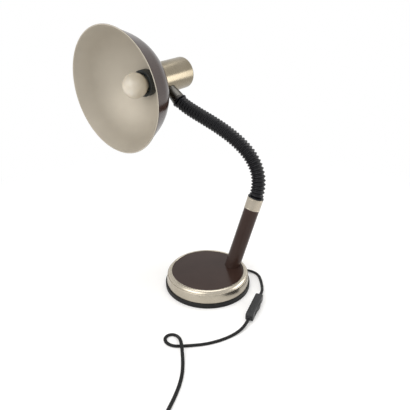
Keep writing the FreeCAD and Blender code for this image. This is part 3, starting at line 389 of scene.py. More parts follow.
BROWN = enamel()
SHADE_INSIDE = plain("shade_inside", (0.46, 0.42, 0.355), (0.50, 0.46, 0.39), 0.62, metallic=0.45, grain=1500,
                     depth=0.00002, roughness_spread=0.05)
CAP_METAL = brushed("cap_metal", (0.25, 0.215, 0.155), (0.29, 0.25, 0.185), 0.27, HEAD_FRAME, ROUND_LINES)
RING_METAL = brushed("ring_metal", (0.42, 0.38, 0.31), (0.47, 0.425, 0.35), 0.24, BASE_FRAME, ROUND_LINES)
STEM_METAL = brushed("stem_metal", (0.40, 0.355, 0.29), (0.46, 0.41, 0.335), 0.20, STEM_FRAME, ROUND_LINES)
# The upper ferrule's satin nickel, painted much darker than the lower ferrule's: painted shade and painted dark
# reflection, as the real finish is the same.
PAINTED_SHADE_NICKEL = brushed("painted_shade_nickel", (0.085, 0.082, 0.074), (0.115, 0.11, 0.10), 0.3, FERRULE_FRAME, ROUND_LINES)
NECK_BLACK = plain("neck_black", (0.004, 0.004, 0.0055), (0.007, 0.007, 0.009), 0.42, grain=1800, depth=0.00003,
                   specular=0.25)
RUBBER = plain("rubber", (0.006, 0.006, 0.006), (0.010, 0.010, 0.0095), 0.55, grain=2200, depth=0.00005,
               specular=0.25)
FLEX_BLACK = plain("flex_black", (0.0035, 0.0035, 0.0037), (0.006, 0.006, 0.0062), 0.5, grain=1600,
                   depth=0.00003, specular=0.2)
PLASTIC = plain("black_plastic", (0.013, 0.013, 0.0135), (0.018, 0.018, 0.019), 0.45, grain=2600, depth=0.00006,
                specular=0.35)
HOLDER = plain("holder_plastic", (0.016, 0.019, 0.020), (0.022, 0.026, 0.027), 0.4, grain=2000, depth=0.00004,
               specular=0.35)
STEEL = plain("zinc_steel", (0.55, 0.56, 0.58), (0.62, 0.62, 0.63), 0.35, metallic=1.0, grain=1200)
IRON = plain("cast_iron", (0.05, 0.05, 0.05), (0.08, 0.078, 0.075), 0.7, metallic=0.6, grain=500, depth=0.0002)
FELT = plain("felt", (0.020, 0.020, 0.021), (0.034, 0.034, 0.035), 0.95, grain=2500, depth=0.0003, specular=0.1)
BRASS = plain("brass", (0.70, 0.50, 0.22), (0.76, 0.57, 0.27), 0.3, metallic=1.0, grain=1200)
INSULATOR = plain("insulator", (0.008, 0.008, 0.009), (0.014, 0.014, 0.015), 0.15, grain=700, depth=0.00002)
BULB_CAP = plain("bulb_cap_metal", (0.68, 0.68, 0.68), (0.75, 0.75, 0.74), 0.3, metallic=1.0, grain=900)


def frosted():
    """A frosted bulb's glass: pearly, with a little light passing through its skin."""
    material, nodes, links, shader = node_material("frosted_glass")
    drift = spread(nodes, links, noise(nodes, links, 60, 2), 0, 1)
    links.new(blend_colours(nodes, links, drift, (0.60, 0.55, 0.46), (0.68, 0.63, 0.54)),
              shader.inputs["Base Color"])
    shader.inputs["Roughness"].default_value = 0.2
    shader.inputs["Subsurface Weight"].default_value = 0.3
    shader.inputs["Subsurface Radius"].default_value = (0.006, 0.005, 0.004)
    shader.inputs["Coat Weight"].default_value = 0.3
    shader.inputs["Coat Roughness"].default_value = 0.1
    bump(nodes, links, shader, noise(nodes, links, 3000, 2), 0.00001, 0.3)
    return material


FROSTED = frosted()

NODE_MATERIALS = {
    BROWN: ["base_top_plate", "stem_tube"],
    RUBBER: ["base_foot_ring", "cord_bush"],
    STEEL: ["base_cover", "cover_screws", "stem_plug", "stem_nipple", "stem_washer", "stem_nut", "head_nipple",
            "head_nut", "head_bracket", "lampholder_nut", "rocker_pin"]
           + [f"neck_link_{n}" for n in range(1, 8)],
    IRON: ["base_weight"],
    FELT: ["base_felt"],
    PLASTIC: ["coil_tie"],
    HOLDER: ["lampholder_body"],
    BRASS: ["thread_shell", "centre_contact"],
    BULB_CAP: ["bulb_contact"],
}
for material, names in NODE_MATERIALS.items():
    for name in names:
        mesh = frame["nodes"][name].data
        mesh.materials.clear()
        mesh.materials.append(material)


# ---------------------------------------------------------------- flex

FLEX_WIDTH = 0.0052
FLEX_HEIGHT = 0.0032
# Across the floor from the tip of the base's bush, and heights from the floor, in millimetres.
BUSH_TIP = (71.6, 7.5, 5.4)
LEAD_1 = [(7.9, 0.8, 4.4), (14.7, -1.4, 2.8), (19.9, -6.1, 1.8), (22.8, -12.6, 1.7), (23.7, -21.1, 1.7),
          (21.3, -32.5, 1.7), (17.3, -45.5, 1.7), (11.8, -58.7, 3.4), (5.1, -72.2, 7.0)]
SWITCH_ENDS = [(-2.8, -81.2, 7.0), (-47.9, -132.3, 7.0)]
LEAD_2 = [(-54.3, -139.5, 7.0), (-67.6, -147.8, 3.4), (-85.1, -153.5, 1.7), (-105.6, -157.1, 1.7),
          (-127.6, -157.2, 1.7), (-148.1, -153.1, 1.7), (-164.1, -149.0, 1.7), (-175.1, -145.0, 1.7),
          (-182.4, -136.3, 1.7), (-183.1, -126.5, 1.7), (-178.0, -120.4, 1.7), (-170.0, -119.7, 1.7),
          (-164.2, -124.8, 1.9), (-163.2, -134.0, 5.6), (-163.5, -143.5, 10.2), (-164.6, -154.5, 10.2),
          (-167.0, -166.0, 5.4), (-170.4, -179.5, 1.9), (-176.0, -197.0, 1.7), (-184.6, -215.0, 1.7),
          (-197.1, -234.0, 1.7), (-210.6, -251.0, 1.8), (-221.6, -265.1, 2.2), (-234.7, -282.5, 2.2)]
TAIL = [(-241.2, -295.3, 13.6), (-246.7, -308.3, 13.6), (-248.8, -322.6, 11.5), (-247.0, -337.0, 8.5),
        (-241.1, -350.3, 7.0), (-231.8, -361.3, 6.95)]
COIL_RADIUS = 32.6
COIL_PITCH = 6.2
COIL_LAYER = 3.8
COIL_HALF_TURNS = [3, 3, 3, 2]
COIL_STEPS = 8
SPLINE_STEPS = 8


def laid(point):
    """A point of the flex's route, in millimetres from the lamp's origin."""
    return Vector((BUSH_TIP[0] + point[0], BUSH_TIP[1] + point[1], point[2]))


def coil_points():
    """Control points of the coil: even steps of a spiral that winds in and out, climbing between its layers."""
    arriving = laid(LEAD_2[-1]) - laid(LEAD_2[-2])
    left = Vector((-arriving.y, arriving.x, 0)).normalized()
    centre = laid(LEAD_2[-1]) + left * COIL_RADIUS
    start = math.atan2(-left.y, -left.x)
    points, radius, level, half_turns, inwards = [], COIL_RADIUS, 0, 0, True

    def half_turn(new_radius, new_level):
        for step in range(1, COIL_STEPS + 1):
            share = step / COIL_STEPS
            angle = start + math.pi * (half_turns + share)
            reach = radius + (new_radius - radius) * share
            rise = level + (new_level - level) * share
            points.append(centre + Vector((math.cos(angle) * reach, math.sin(angle) * reach, rise * COIL_LAYER)))

    for layer, count in enumerate(COIL_HALF_TURNS):
        if layer:
            half_turn(radius, level + 1)
            half_turns += 1
            level += 1
            inwards = not inwards
        for _ in range(count):
            new_radius = radius + COIL_PITCH / 2 * (-1 if inwards else 1)
            half_turn(new_radius, level)
            half_turns += 1
            radius = new_radius
    return points


def spline_points(name, points):
    """The route's points in metres, smoothed by a NURBS spline and read back along it."""
    curve = bpy.data.curves.new(name, "CURVE")
    curve.dimensions = "3D"
    curve.resolution_u = SPLINE_STEPS
    spline = curve.splines.new("NURBS")
    spline.points.add(len(points) - 1)
    for target, point in zip(spline.points, points):
        target.co = (*(point * 0.001), 1)
    spline.order_u = 3
    spline.use_endpoint_u = True
    holder = bpy.data.objects.new(name, curve)
    bpy.context.scene.collection.objects.link(holder)
    bpy.context.view_layer.update()
    mesh = bpy.data.meshes.new_from_object(holder)
    path = [v.co.copy() for v in mesh.vertices]
    bpy.data.objects.remove(holder)
    return path


def twin_section():
    """Two round cores side by side, with the shallow groove between them."""
    radius = FLEX_HEIGHT / 2
    apart = (FLEX_WIDTH - FLEX_HEIGHT) / 2
    waist = math.degrees(math.acos(-apart / radius))
    return arc((apart, 0), radius, -waist, waist, 9) + arc((-apart, 0), radius, 180 - waist, 180 + waist, 9)


def flat_across(tangent):
    return UP.cross(tangent).normalized()


def flex():
    section = twin_section()
    switch_start, switch_end = (laid(point) for point in SWITCH_ENDS)
    short_path = spline_points("flex_short_route", [Vector(BUSH_TIP)] + [laid(p) for p in LEAD_1] + [switch_start])
    short = sweep("flex_to_switch", short_path, section, FLEX_BLACK, flat_across)
    stand_for(short, "root", "black_flex", "cord_lead_1")
    long_path = spline_points("flex_long_route", [switch_end] + [laid(p) for p in LEAD_2] + coil_points()
                              + [laid(p) for p in TAIL])
    long = sweep("flex_to_plug", long_path, section, FLEX_BLACK, flat_across)
    stand_for(long, "root", "black_flex", "cord_lead_2", "cord_coil", "cord_lead_3")
    return short, short_path, long, long_path


SHORT_FLEX, SHORT_PATH, LONG_FLEX, LONG_PATH = flex()


# ---------------------------------------------------------------- gooseneck

class CentreLine:
    """The gooseneck's centre line, a Bezier curve measured by its length."""

    STEPS = 1000

    def __init__(self):
        self.pulls = [NECK_START, NECK_START + STEM_AXIS * NECK_START_PULL,
                      NECK_END + NECK_OUT * NECK_END_PULL, NECK_END]
        self.travelled = [0.0]
        last = NECK_START
        for step in range(1, self.STEPS + 1):
            spot = self.spot(step / self.STEPS)
            self.travelled.append(self.travelled[-1] + (spot - last).length)
            last = spot
        self.length = self.travelled[-1]

    def spot(self, t):
        a, b, c, d = self.pulls
        return a * (1 - t) ** 3 + b * (3 * t * (1 - t) ** 2) + c * (3 * t * t * (1 - t)) + d * t ** 3

    def at(self, distance):
        step = 0
        while step < self.STEPS - 1 and self.travelled[step + 1] < distance:
            step += 1
        share = (distance - self.travelled[step]) / (self.travelled[step + 1] - self.travelled[step])
        t = (step + share) / self.STEPS
        ahead, behind = min(t + 1e-3, 1.0), max(t - 1e-3, 0.0)
        return self.spot(t), (self.spot(ahead) - self.spot(behind)).normalized()


NECK = CentreLine()
STEADY = STEM_AXIS.cross(-NECK_OUT).normalized()
RIB_EDGE = 0.0003
FIRST_RIB = COLLAR_LENGTH + RIB_EDGE
RIB_PITCH = (NECK.length - 2 * FIRST_RIB) / RIBS
RIB_SHAPE = [(0.0, 0.0), (0.08, 0.05), (0.2, 0.34), (0.34, 0.70), (0.43, 0.93), (0.48, 1.0), (0.52, 1.0),
             (0.57, 0.93), (0.66, 0.70), (0.8, 0.34), (0.92, 0.05)]


def neck_profile():
    """(distance, radius) along the whole sleeve, and the valleys where it may be parted."""
    profile = [(0.0, COLLAR_RADIUS - 0.0004), (0.0003, COLLAR_RADIUS), (COLLAR_LENGTH - 0.0003, COLLAR_RADIUS),
               (COLLAR_LENGTH, COLLAR_RADIUS - 0.0004)]
    valleys = []
    for rib in range(RIBS):
        start = FIRST_RIB + rib * RIB_PITCH
        valleys.append(start)
        profile += [(start + share * RIB_PITCH, RIB_VALLEY + (RIB_RADIUS - RIB_VALLEY) * height)
                    for share, height in RIB_SHAPE]
    end = NECK.length
    profile += [(end - FIRST_RIB, RIB_VALLEY), (end - COLLAR_LENGTH, COLLAR_RADIUS - 0.0004),
                (end - COLLAR_LENGTH + 0.0003, COLLAR_RADIUS), (end - 0.0003, COLLAR_RADIUS),
                (end, COLLAR_RADIUS - 0.0004)]
    return profile, valleys


def sleeve_piece(name, profile, around=48):
    """One length of the ribbed sleeve, open at both ends, where it meets the next or a ferrule."""
    vertices, faces = [], []
    rings = [(s, r) for s, r in profile]
    rings += [(s, 0.0062) for s, _ in reversed(profile[::6] + profile[-1:])]
    for distance, radius in rings:
        spot, tangent = NECK.at(distance)
        place = axes(spot, tangent, STEADY)
        for n in range(around):
            angle = 2 * math.pi * n / around
            vertices.append(place @ Vector((radius * math.cos(angle), radius * math.sin(angle), 0)))
    count = len(rings)
    for ring in range(count):
        following = (ring + 1) % count
        for n in range(around):
            after = (n + 1) % around
            faces.append((ring * around + n, ring * around + after, following * around + after,
                          following * around + n))
    return mesh_object(name, vertices, faces, [NECK_BLACK], sharp=60)


def gooseneck():
    profile, valleys = neck_profile()
    hinges = [j for j in frame["joints"] if j["name"].startswith("neck_")]
    count = len(hinges)
    cuts = [0.0]
    for number in range(1, count):
        middle = NECK.length * (number + 0.5) / (count + 1)
        cuts.append(min(valleys, key=lambda s: abs(s - middle)))
    cuts.append(NECK.length)
    for number, hinge in enumerate(hinges):
        stretch = [p for p in profile if cuts[number] - 1e-7 <= p[0] <= cuts[number + 1] + 1e-7]
        piece = sleeve_piece(f"neck_sleeve_{number + 1}", stretch)
        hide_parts("neck_sleeve")
        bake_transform(piece)


gooseneck()


# ---------------------------------------------------------------- head

RIM_RADIUS = 0.106
CONE_DEPTH = 0.028
CONE_SLOPE = 22.1
DOME_ARC = 0.08927
SHADE_WALL = 0.001
BEAD = 0.0009
SHADE_HOLE = 0.0198
CAP_WALL, CAP_END, CAP_CROWN, CAP_CORNER = 0.001, 0.175, 0.0012, 0.0038
CAP_CLEARANCE = 0.0003
BULB_RADIUS, BULB_CENTRE, BULB_NECK, BULB_CAP_START = 0.0225, 0.050, 0.0129, 0.075
THREAD_RADIUS, THREAD_PITCH, THREAD_DEPTH = 0.0131, 0.00363, 0.0010
THREAD_FROM, THREAD_TO = BULB_CAP_START + 0.0026, BULB_CAP_START + 0.021
HOLDER_FRONT, HOLDER_RADIUS, HOLDER_BORE = 0.067, 0.0235, 0.0196
HOLDER_SEAT, HOLDER_EDGE = 0.0016, 0.0008
FLUTES, FLUTE_DEPTH, FLUTE_MARGIN, HOLDER_AROUND = 36, 0.00045, 0.0022, 288
FERRULE_BORE, GROOVE, BROKEN_EDGE = 0.0057, 0.0002, 0.0004
UPPER_NARROW, UPPER_WIDE = 0.0105, 0.01215


def points(pairs):
    """An outline's (radius, height) pairs as vectors."""
    return [Vector(pair) for pair in pairs]


def shade():
    """The spun dome: brown outside, pale inside, with a rolled bead at its rim. Gives where its crown ends."""
    slope = math.radians(CONE_SLOPE)
    cone_end = RIM_RADIUS - CONE_DEPTH * math.tan(slope)
    centre = (cone_end - DOME_ARC * math.cos(slope), CONE_DEPTH - DOME_ARC * math.sin(slope))
    top = math.degrees(math.acos((CAP_RADIUS - centre[0]) / DOME_ARC))
    inner_arc = DOME_ARC - SHADE_WALL
    inner_top = math.degrees(math.acos((CAP_RADIUS - centre[0]) / inner_arc))
    outer = arc(centre, DOME_ARC, CONE_SLOPE, top, 30)
    inner = arc(centre, inner_arc, inner_top, CONE_SLOPE, 30)
    back = outer[-1].y
    bead = arc((RIM_RADIUS, BEAD), BEAD, -90, 120, 10)
    rim_in = inner[-1].x + inner[-1].y * math.tan(slope)
    outline = bead + outer + points([(SHADE_HOLE, back + SHADE_WALL), (SHADE_HOLE, back)]) + inner
    outline += points([(rim_in, 0.0003)])
    inner_from = len(bead) + len(outer) + 1
    piece = lathe("shade", outline, HEAD_FRAME, [BROWN, SHADE_INSIDE], around=192,
                  inner=lambda band: band >= inner_from or band < 3)
    stand_for(piece, "head", "brown_enamel", "shade_dome")
    return back


def cap(front):
    """The cylindrical cap over the lampholder, with a rounded edge and a slightly crowned end."""
    outline = points([(CAP_RADIUS - CAP_WALL, front), (CAP_RADIUS - CAP_CLEARANCE, front),
                      (CAP_RADIUS, front + CAP_CLEARANCE)])
    outline += arc((CAP_RADIUS - CAP_CORNER, CAP_END - CAP_CORNER), CAP_CORNER, 0, 87, 8)
    outline += points([(CAP_RADIUS * 0.5, CAP_END + CAP_CROWN * 0.75), (0, CAP_END + CAP_CROWN),
                       (0, CAP_END + CAP_CROWN - CAP_WALL), (CAP_RADIUS - CAP_CORNER, CAP_END - CAP_WALL),
                       (CAP_RADIUS - CAP_WALL, CAP_END - CAP_CORNER)])
    piece = lathe("socket_cap_skin", outline, HEAD_FRAME, [CAP_METAL], around=128)
    stand_for(piece, "head", "champagne_nickel", "socket_cap")


def thread(name, radius, start, end):
    """A rolled round thread: a skin whose radius waves along a helix and fades out at both ends."""
    per_turn = 10
    steps = round((end - start) / THREAD_PITCH * per_turn)
    rings = []
    for step in range(steps + 1):
        height = start + (end - start) * step / steps
        fade = min(1.0, step / per_turn * 2, (steps - step) / per_turn * 2)
        turns = (height - start) / THREAD_PITCH

        def wave(angle):
            return -THREAD_DEPTH * (0.5 + 0.5 * fade * math.cos(2 * math.pi * turns - angle))
        rings.append(ring_points(HEAD_FRAME, radius, height, 48, wave))
    return skin(name, rings, [BULB_CAP], sharp=60)


def cap_turning(name, outline, around, material):
    """A turned part of the bulb's cap, from (radius, distance from the cap's start) points."""
    rings = [ring_points(HEAD_FRAME, radius, BULB_CAP_START + along, around) for radius, along in outline]
    return skin(name, rings, [material])


def bulb():
    """A golf-ball bulb: the frosted glass, and a cap with a collar, a rolled thread and a dark insulator."""
    outline = arc((0, BULB_CENTRE), BULB_RADIUS, -90, 40, 30)
    outline += points([(0.0150, 0.0678), (0.0137, 0.0705), (BULB_NECK, 0.0730), (BULB_NECK, BULB_CAP_START),
                       (0, BULB_CAP_START)])
    outline = [Vector((max(p.x, 0), p.y)) for p in outline]
    glass = lathe("bulb_envelope", outline, HEAD_FRAME, [FROSTED], around=64)
    stand_for(glass, "bulb", "frosted_glass", "bulb_glass")
    collar = [(0.0127, 0), (THREAD_RADIUS, 0.0004), (THREAD_RADIUS, 0.0022), (0.0124, 0.0028)]
    insulator = [(0.0122, 0.0208), (0.0112, 0.0218), (0.0092, 0.0235), (0.0050, 0.0235)]
    for piece in (cap_turning("bulb_collar", collar, 64, BULB_CAP),
                  thread("bulb_thread", THREAD_RADIUS, THREAD_FROM, THREAD_TO),
                  cap_turning("bulb_insulator", insulator, 48, INSULATOR)):
        stand_for(piece, "bulb", "bulb_cap_metal", "bulb_screw_cap")


def flutes(angle):
    return -FLUTE_DEPTH * max(0.0, math.cos(angle * FLUTES)) ** 2


def lampholder(back):
    """The lampholder's fluted ring, which clamps the shade from inside."""
    end = back - HOLDER_SEAT
    outline = [(HOLDER_BORE, end), (HOLDER_BORE, HOLDER_FRONT + 0.0004), (HOLDER_BORE + 0.0004, HOLDER_FRONT)]
    outline += [(HOLDER_RADIUS - HOLDER_EDGE + up, HOLDER_FRONT + inward)
                for inward, up in edge_rounding(HOLDER_EDGE)]
    rings = [ring_points(HEAD_FRAME, radius, height, HOLDER_AROUND) for radius, height in outline]
    rings += [ring_points(HEAD_FRAME, HOLDER_RADIUS, height, HOLDER_AROUND, flutes)
              for height in (HOLDER_FRONT + FLUTE_MARGIN, end - FLUTE_MARGIN)]
    rings += [ring_points(HEAD_FRAME, HOLDER_RADIUS, height, HOLDER_AROUND) for height in (end - 0.0012, end)]
    ring = skin("holder_ring", rings + rings[:1], [HOLDER], ends=(False, False))
    merge(ring)
    stand_for(ring, "head", "holder_plastic", "lampholder_ring")


def groove(radius, start):
    """A fine turned groove's four corners."""
    return [(radius, start), (radius - GROOVE, start + 0.0002), (radius - GROOVE, start + 0.0005),
            (radius, start + 0.0007)]


def ferrules():
    """Turned collars over both ends of the gooseneck, with broken edges and fine grooves."""
    radius, length, bore = LOWER_FERRULE_RADIUS, LOWER_FERRULE_LENGTH, 0.0122
    place = STEM_FRAME @ Matrix.Translation((0, 0, STEM_LENGTH))
    outline = [(bore, -0.008), (bore, 0.0), (radius - BROKEN_EDGE, 0.0), (radius, BROKEN_EDGE)]
    outline += groove(radius, 0.0016) + groove(radius, length - 0.0023)
    outline += [(radius, length - BROKEN_EDGE), (radius - BROKEN_EDGE, length), (FERRULE_BORE, length),
                (FERRULE_BORE, 0.008)]
    lower = lathe("neck_collar_low", points(outline), place, [STEM_METAL], around=128)
    stand_for(lower, "root", "satin_nickel", "lower_ferrule")

    reach = CAP_RADIUS + UPPER_FERRULE_LENGTH
    seat = CAP_RADIUS - 0.0019
    place = axes(NECK_END - NECK_OUT * reach, NECK_OUT, HEAD_AXIS)
    outline = [(FERRULE_BORE, seat), (UPPER_NARROW, seat), (UPPER_NARROW, CAP_RADIUS + 0.0028),
               (UPPER_NARROW + 0.0002, CAP_RADIUS + 0.0034), (UPPER_WIDE - 0.0002, reach - 0.0056),
               (UPPER_WIDE, reach - 0.0050)]
    outline += groove(UPPER_WIDE, reach - 0.0036)
    outline += [(UPPER_WIDE, reach - BROKEN_EDGE), (UPPER_WIDE - BROKEN_EDGE, reach), (FERRULE_BORE, reach)]
    # The upper ferrule takes the darker copy of the nickel, with shade and dark reflection painted into its
    # colour.
    upper = lathe("neck_collar_high", points(outline), place, [PAINTED_SHADE_NICKEL], around=128)
    stand_for(upper, "head", "satin_nickel", "upper_ferrule")


shade_back = shade()
cap(shade_back + CAP_CLEARANCE)
bulb()
lampholder(shade_back)
ferrules()


# ---------------------------------------------------------------- base

def base_ring():
    """The plated ring: an upright band, a small step, and a roll over the edge of the top plate."""
    roll_centre = (0.0637, 0.0227)
    outline = rounded([(0.0718, 0.0085), (0.0730, 0.0085, 0.0003), (0.0712, 0.0240, 0.0006),
                       (0.0702, 0.0246, 0.0003)])
    outline += arc(roll_centre, 0.0066, 18, 84, 10)
    outline += points([(0.0636, 0.0293), (0.0633, 0.0289), (0.0633, 0.0285), (0.0658, 0.0285)])
    outline += arc(roll_centre, 0.0054, 76, 18, 6) + points([(0.0700, 0.0230)])
    piece = lathe("trim_ring", outline, BASE_FRAME, [RING_METAL], around=160, sharp=50)
    stand_for(piece, "root", "satin_nickel", "base_trim_ring")


base_ring()


# ---------------------------------------------------------------- switch and plug

SWITCH_HALF_X, SWITCH_HALF_Z, SWITCH_CORNER = 0.0311, 0.0068, 0.0045
SWITCH_BACK, SWITCH_FRONT, SWITCH_EDGE, PARTING = 0.0065, 0.0060, 0.0014, 0.0003
SCREW_APART, SCREW_RADIUS, SCREW_LENGTH, SEAT_RADIUS, SEAT_FLOOR = 0.023, 0.002, 0.0044, 0.0021, 0.0015
WINDOW_HALF_X, WINDOW_HALF_Z, WINDOW_FLOOR = 0.0172, 0.00455, 0.0008
ROCKER_LENGTH, ROCKER_HALF, ROCKER_SHOULDER, ROCKER_CROWN = 0.033, 0.0042, 0.0014, 0.0032
ROCKER_BOTTOM, ROCKER_PIVOT, ROCKER_REST, ROCKER_SOFT = -0.0024, 0.0032, -5, 0.0007
RIDGE_DEPTH, RIDGE_STEPS, ROCKER_STEPS, ROCKER_END = 0.00022, 3, 66, 0.0005
PLUG_MIDDLE, PLUG_LENGTH, PIN_APART, PIN_RADIUS = 0.00695, 0.038, 0.0095, 0.002


def lying(start, end, middle):
    """A frame at middle whose X runs from start to end across the floor and whose Z is up."""
    along = (end - start).normalized()
    place = Matrix((along, UP.cross(along), UP)).transposed().to_4x4()
    place.translation = middle
    return place


SWITCH_START, SWITCH_END = (laid(point) * 0.001 for point in SWITCH_ENDS)
SWITCH_FRAME = lying(SWITCH_START, SWITCH_END, (SWITCH_START + SWITCH_END) / 2)


def half_shell(name, reach, way, window=()):
    """Half of the switch's housing, from its parting line to its rounded face; window is more rings."""
    stations = [(0.0, PARTING), (way * PARTING, 0.0)]
    stations += [(way * (reach - SWITCH_EDGE + up), inward) for inward, up in edge_rounding(SWITCH_EDGE)]
    rings = []
    for y, inset in stations:
        flat = rounded_rectangle(SWITCH_HALF_X - inset, SWITCH_HALF_Z - inset, SWITCH_CORNER - inset, 8)
        rings.append([SWITCH_FRAME @ Vector((x, y, z)) for x, z in flat])
    return skin(name, rings + list(window), [PLASTIC])


def slotted_screw(name, place):
    """A pan-head screw along the frame's Z, its head up, with a cross slot."""
    radius, length, slot = SCREW_RADIUS, SCREW_LENGTH, 0.0006
    outline = [(0, 0), (radius * 0.96, 0), (radius, length * 0.1), (radius, length - radius * 0.25),
               (radius * 0.93, length - radius * 0.08), (radius * 0.8, length), (0, length)]
    head = lathe(name, points(outline), place, [STEEL], around=48)
    cutters = []
    for along, across in ((radius * 0.75, slot), (slot, radius * 0.75)):
        corners = [place @ Vector((x, y, z)) for z in (length - radius * 0.45, length + radius) for x, y in
                   ((-along, -across), (along, -across), (along, across), (-along, across))]
        sides = [(0, 1, 2, 3), (4, 5, 6, 7)] + [(n, (n + 1) % 4, 4 + (n + 1) % 4, 4 + n) for n in range(4)]
        cutters.append(mesh_object(name + "_slot", corners, sides, [STEEL]))
    carve(head, *cutters)
    return head


def switch_back():
    """The back half with its two screws in their seats."""
    shell = half_shell("switch_back_shell", SWITCH_BACK, -1)
    seats, pieces = [], []
    for way in (-1, 1):
        hole = (SWITCH_FRAME @ Matrix.Translation((way * SCREW_APART, -SEAT_FLOOR, 0))
                @ Matrix.Rotation(math.radians(90), 4, "X"))
        seat = [(0, 0), (SEAT_RADIUS, 0), (SEAT_RADIUS, 0.008), (0, 0.008)]
        seats.append(lathe("screw_seat", points(seat), hole, [PLASTIC], around=32))
        screw = slotted_screw(f"switch_screw_{way + 2}", hole)
        pieces.append(stand_for(screw, "root", "zinc_steel", "switch_screws"))
    carve(shell, *seats)
    return pieces + [stand_for(shell, "root", "black_plastic", "switch_lower_housing")]


def switch_front():
    """The front half with its rocker's window, and grooved collars where the flex goes in."""
    window = []
    for y, grow in ((SWITCH_FRONT, PARTING), (SWITCH_FRONT - PARTING, 0.0), (WINDOW_FLOOR, 0.0)):
        flat = rounded_rectangle(WINDOW_HALF_X + grow, WINDOW_HALF_Z + grow, 0.0005, 8)
        window.append([SWITCH_FRAME @ Vector((x, y, z)) for x, z in flat])
    pieces = [half_shell("switch_front_shell", SWITCH_FRONT, 1, window)]
    outline = [(0.0034, 0.0), (0.0038, 0.0003), (0.0038, 0.0009), (0.0034, 0.0011), (0.0034, 0.0014),
               (0.0037, 0.0016), (0.0037, 0.0021), (0.0033, 0.0023), (0.0033, 0.0026), (0.0030, 0.0030),
               (0, 0.0030), (0, 0)]
    for way in (-1, 1):
        place = (SWITCH_FRAME @ Matrix.Translation((way * SWITCH_HALF_X, 0, 0))
                 @ Matrix.Rotation(math.radians(90 * way), 4, "Y"))
        pieces.append(lathe(f"switch_flex_collar_{way + 2}", points(outline), place, [PLASTIC], around=40))
    return [stand_for(piece, "root", "black_plastic", "switch_upper_housing") for piece in pieces]


def switch_rocker():
    """The crowned rocker, with ridges over its middle and softened edges, tipped to one side."""
    tilt = (SWITCH_FRAME @ Matrix.Translation((0, ROCKER_PIVOT, 0))
            @ Matrix.Rotation(math.radians(ROCKER_REST), 4, "Z"))
    rings = []
    for step in range(ROCKER_STEPS + 1):
        share = step / ROCKER_STEPS
        end_inset = ROCKER_END if step in (0, ROCKER_STEPS) else 0.0
        top = ROCKER_SHOULDER + ROCKER_CROWN * (1 - (2 * share - 1) ** 2) - end_inset
        if 0.14 < share < 0.86:
            top -= RIDGE_DEPTH * (0.5 + 0.5 * math.cos(2 * math.pi * step / RIDGE_STEPS))
        bottom = ROCKER_BOTTOM - ROCKER_BOTTOM * max(0.0, abs(share - 0.5) * 6 - 1) / 2
        half = ROCKER_HALF - end_inset
        soft, slight = ROCKER_SOFT, ROCKER_SOFT * 0.3
        section = [(bottom, -half), (top - soft, -half), (top - slight, -half + slight), (top, -half + soft),
                   (top, half - soft), (top - slight, half - slight), (top - soft, half), (bottom, half)]
        rings.append([tilt @ Vector(((share - 0.5) * ROCKER_LENGTH, y, z)) for y, z in section])
    rocker = skin("switch_rocker_cap", rings, [PLASTIC], sharp=50)
    return [stand_for(rocker, "rocker", "black_plastic", "switch_rocker")]


def plug():
    """A flat two-pin plug: a moulded body with softened edges, a grooved neck, and pins with sleeves."""
    end, before = laid(TAIL[-1]) * 0.001, laid(TAIL[-2]) * 0.001
    end.z = before.z = PLUG_MIDDLE
    place = lying(before, end, end)
    stations = [(0.0, 0.0034, 0.0034)]
    for number in range(5):
        at = 0.0012 + number * 0.0020
        wide, high = 0.0040 + 0.00025 * number, 0.0038 + 0.0004 * number
        stations += [(at, wide, high), (at + 0.0008, wide, high), (at + 0.0010, wide - 0.0004, high - 0.0004),
                     (at + 0.0017, wide - 0.0003, high - 0.0003)]
    stations += [(0.0120, 0.0052, 0.0059), (0.0145, 0.0078, 0.0062), (0.0175, 0.0118, 0.0065),
                 (0.0205, 0.0156, 0.0067), (0.0228, 0.0172, 0.00685), (0.0260, 0.0174, 0.00685),
                 (0.0300, 0.01715, 0.00685), (0.0340, 0.0172, 0.00685), (0.0366, 0.0176, 0.00685),
                 (0.0374, 0.0174, 0.0067), (PLUG_LENGTH, 0.0167, 0.0060)]
    rings = []
    for x, half_y, half_z in stations:
        corner = min(half_y, half_z) * (0.9 if x < 0.012 else 0.55)
        rings.append([place @ Vector((x, y, z)) for y, z in rounded_rectangle(half_y, half_z, corner, 7)])
    body = skin("plug_moulding", rings, [PLASTIC], sharp=40)
    pieces = [stand_for(body, "root", "black_plastic", "plug_body")]
    slim = PIN_RADIUS - 0.0001
    sleeve = [(0, -0.001), (slim, -0.001), (slim, 0.0098), (0.0018, 0.0100), (0, 0.0100)]
    tip = [(0, 0.0096), (slim, 0.0096), (PIN_RADIUS, 0.0101), (PIN_RADIUS, 0.0175), (0.0018, 0.0184),
           (0.0012, 0.0189), (0, 0.0190)]
    for way in (-1, 1):
        pin = (place @ Matrix.Translation((PLUG_LENGTH, way * PIN_APART, 0))
               @ Matrix.Rotation(math.radians(90), 4, "Y"))
        for name, outline, material, slot in (("plug_sleeve", sleeve, PLASTIC, "black_plastic"),
                                              ("plug_pin_tip", tip, BRASS, "brass")):
            piece = lathe(f"{name}_{way + 2}", points(outline), pin, [material], around=32)
            pieces.append(stand_for(piece, "root", slot, "plug_pins"))
    return pieces


switch_pieces = switch_back() + switch_front() + switch_rocker()
plug_pieces = plug()


# ---------------------------------------------------------------- studio

FLOOR_GREY = 0.84
FLOOR_GLOW = 0.2
FLOOR_HALF = 6
WHITE_FROM, WHITE_BY = 0.3, 0.75
SOFT_LEVEL = 0.6
MID_LAMP = (0, 0, 0.2)


def seen_by_eye(nodes, links):
    """1 for rays that the eye follows, straight, in a reflection or through glass, and 0 for light."""
    paths = nodes.new("ShaderNodeLightPath")
    value = paths.outputs["Is Camera Ray"]
    for ray in ("Is Glossy Ray", "Is Transmission Ray"):
        either = nodes.new("ShaderNodeMath")
        either.operation = "MAXIMUM"
        links.new(value, either.inputs[0])
        links.new(paths.outputs[ray], either.inputs[1])
        value = either.outputs["Value"]
    return value


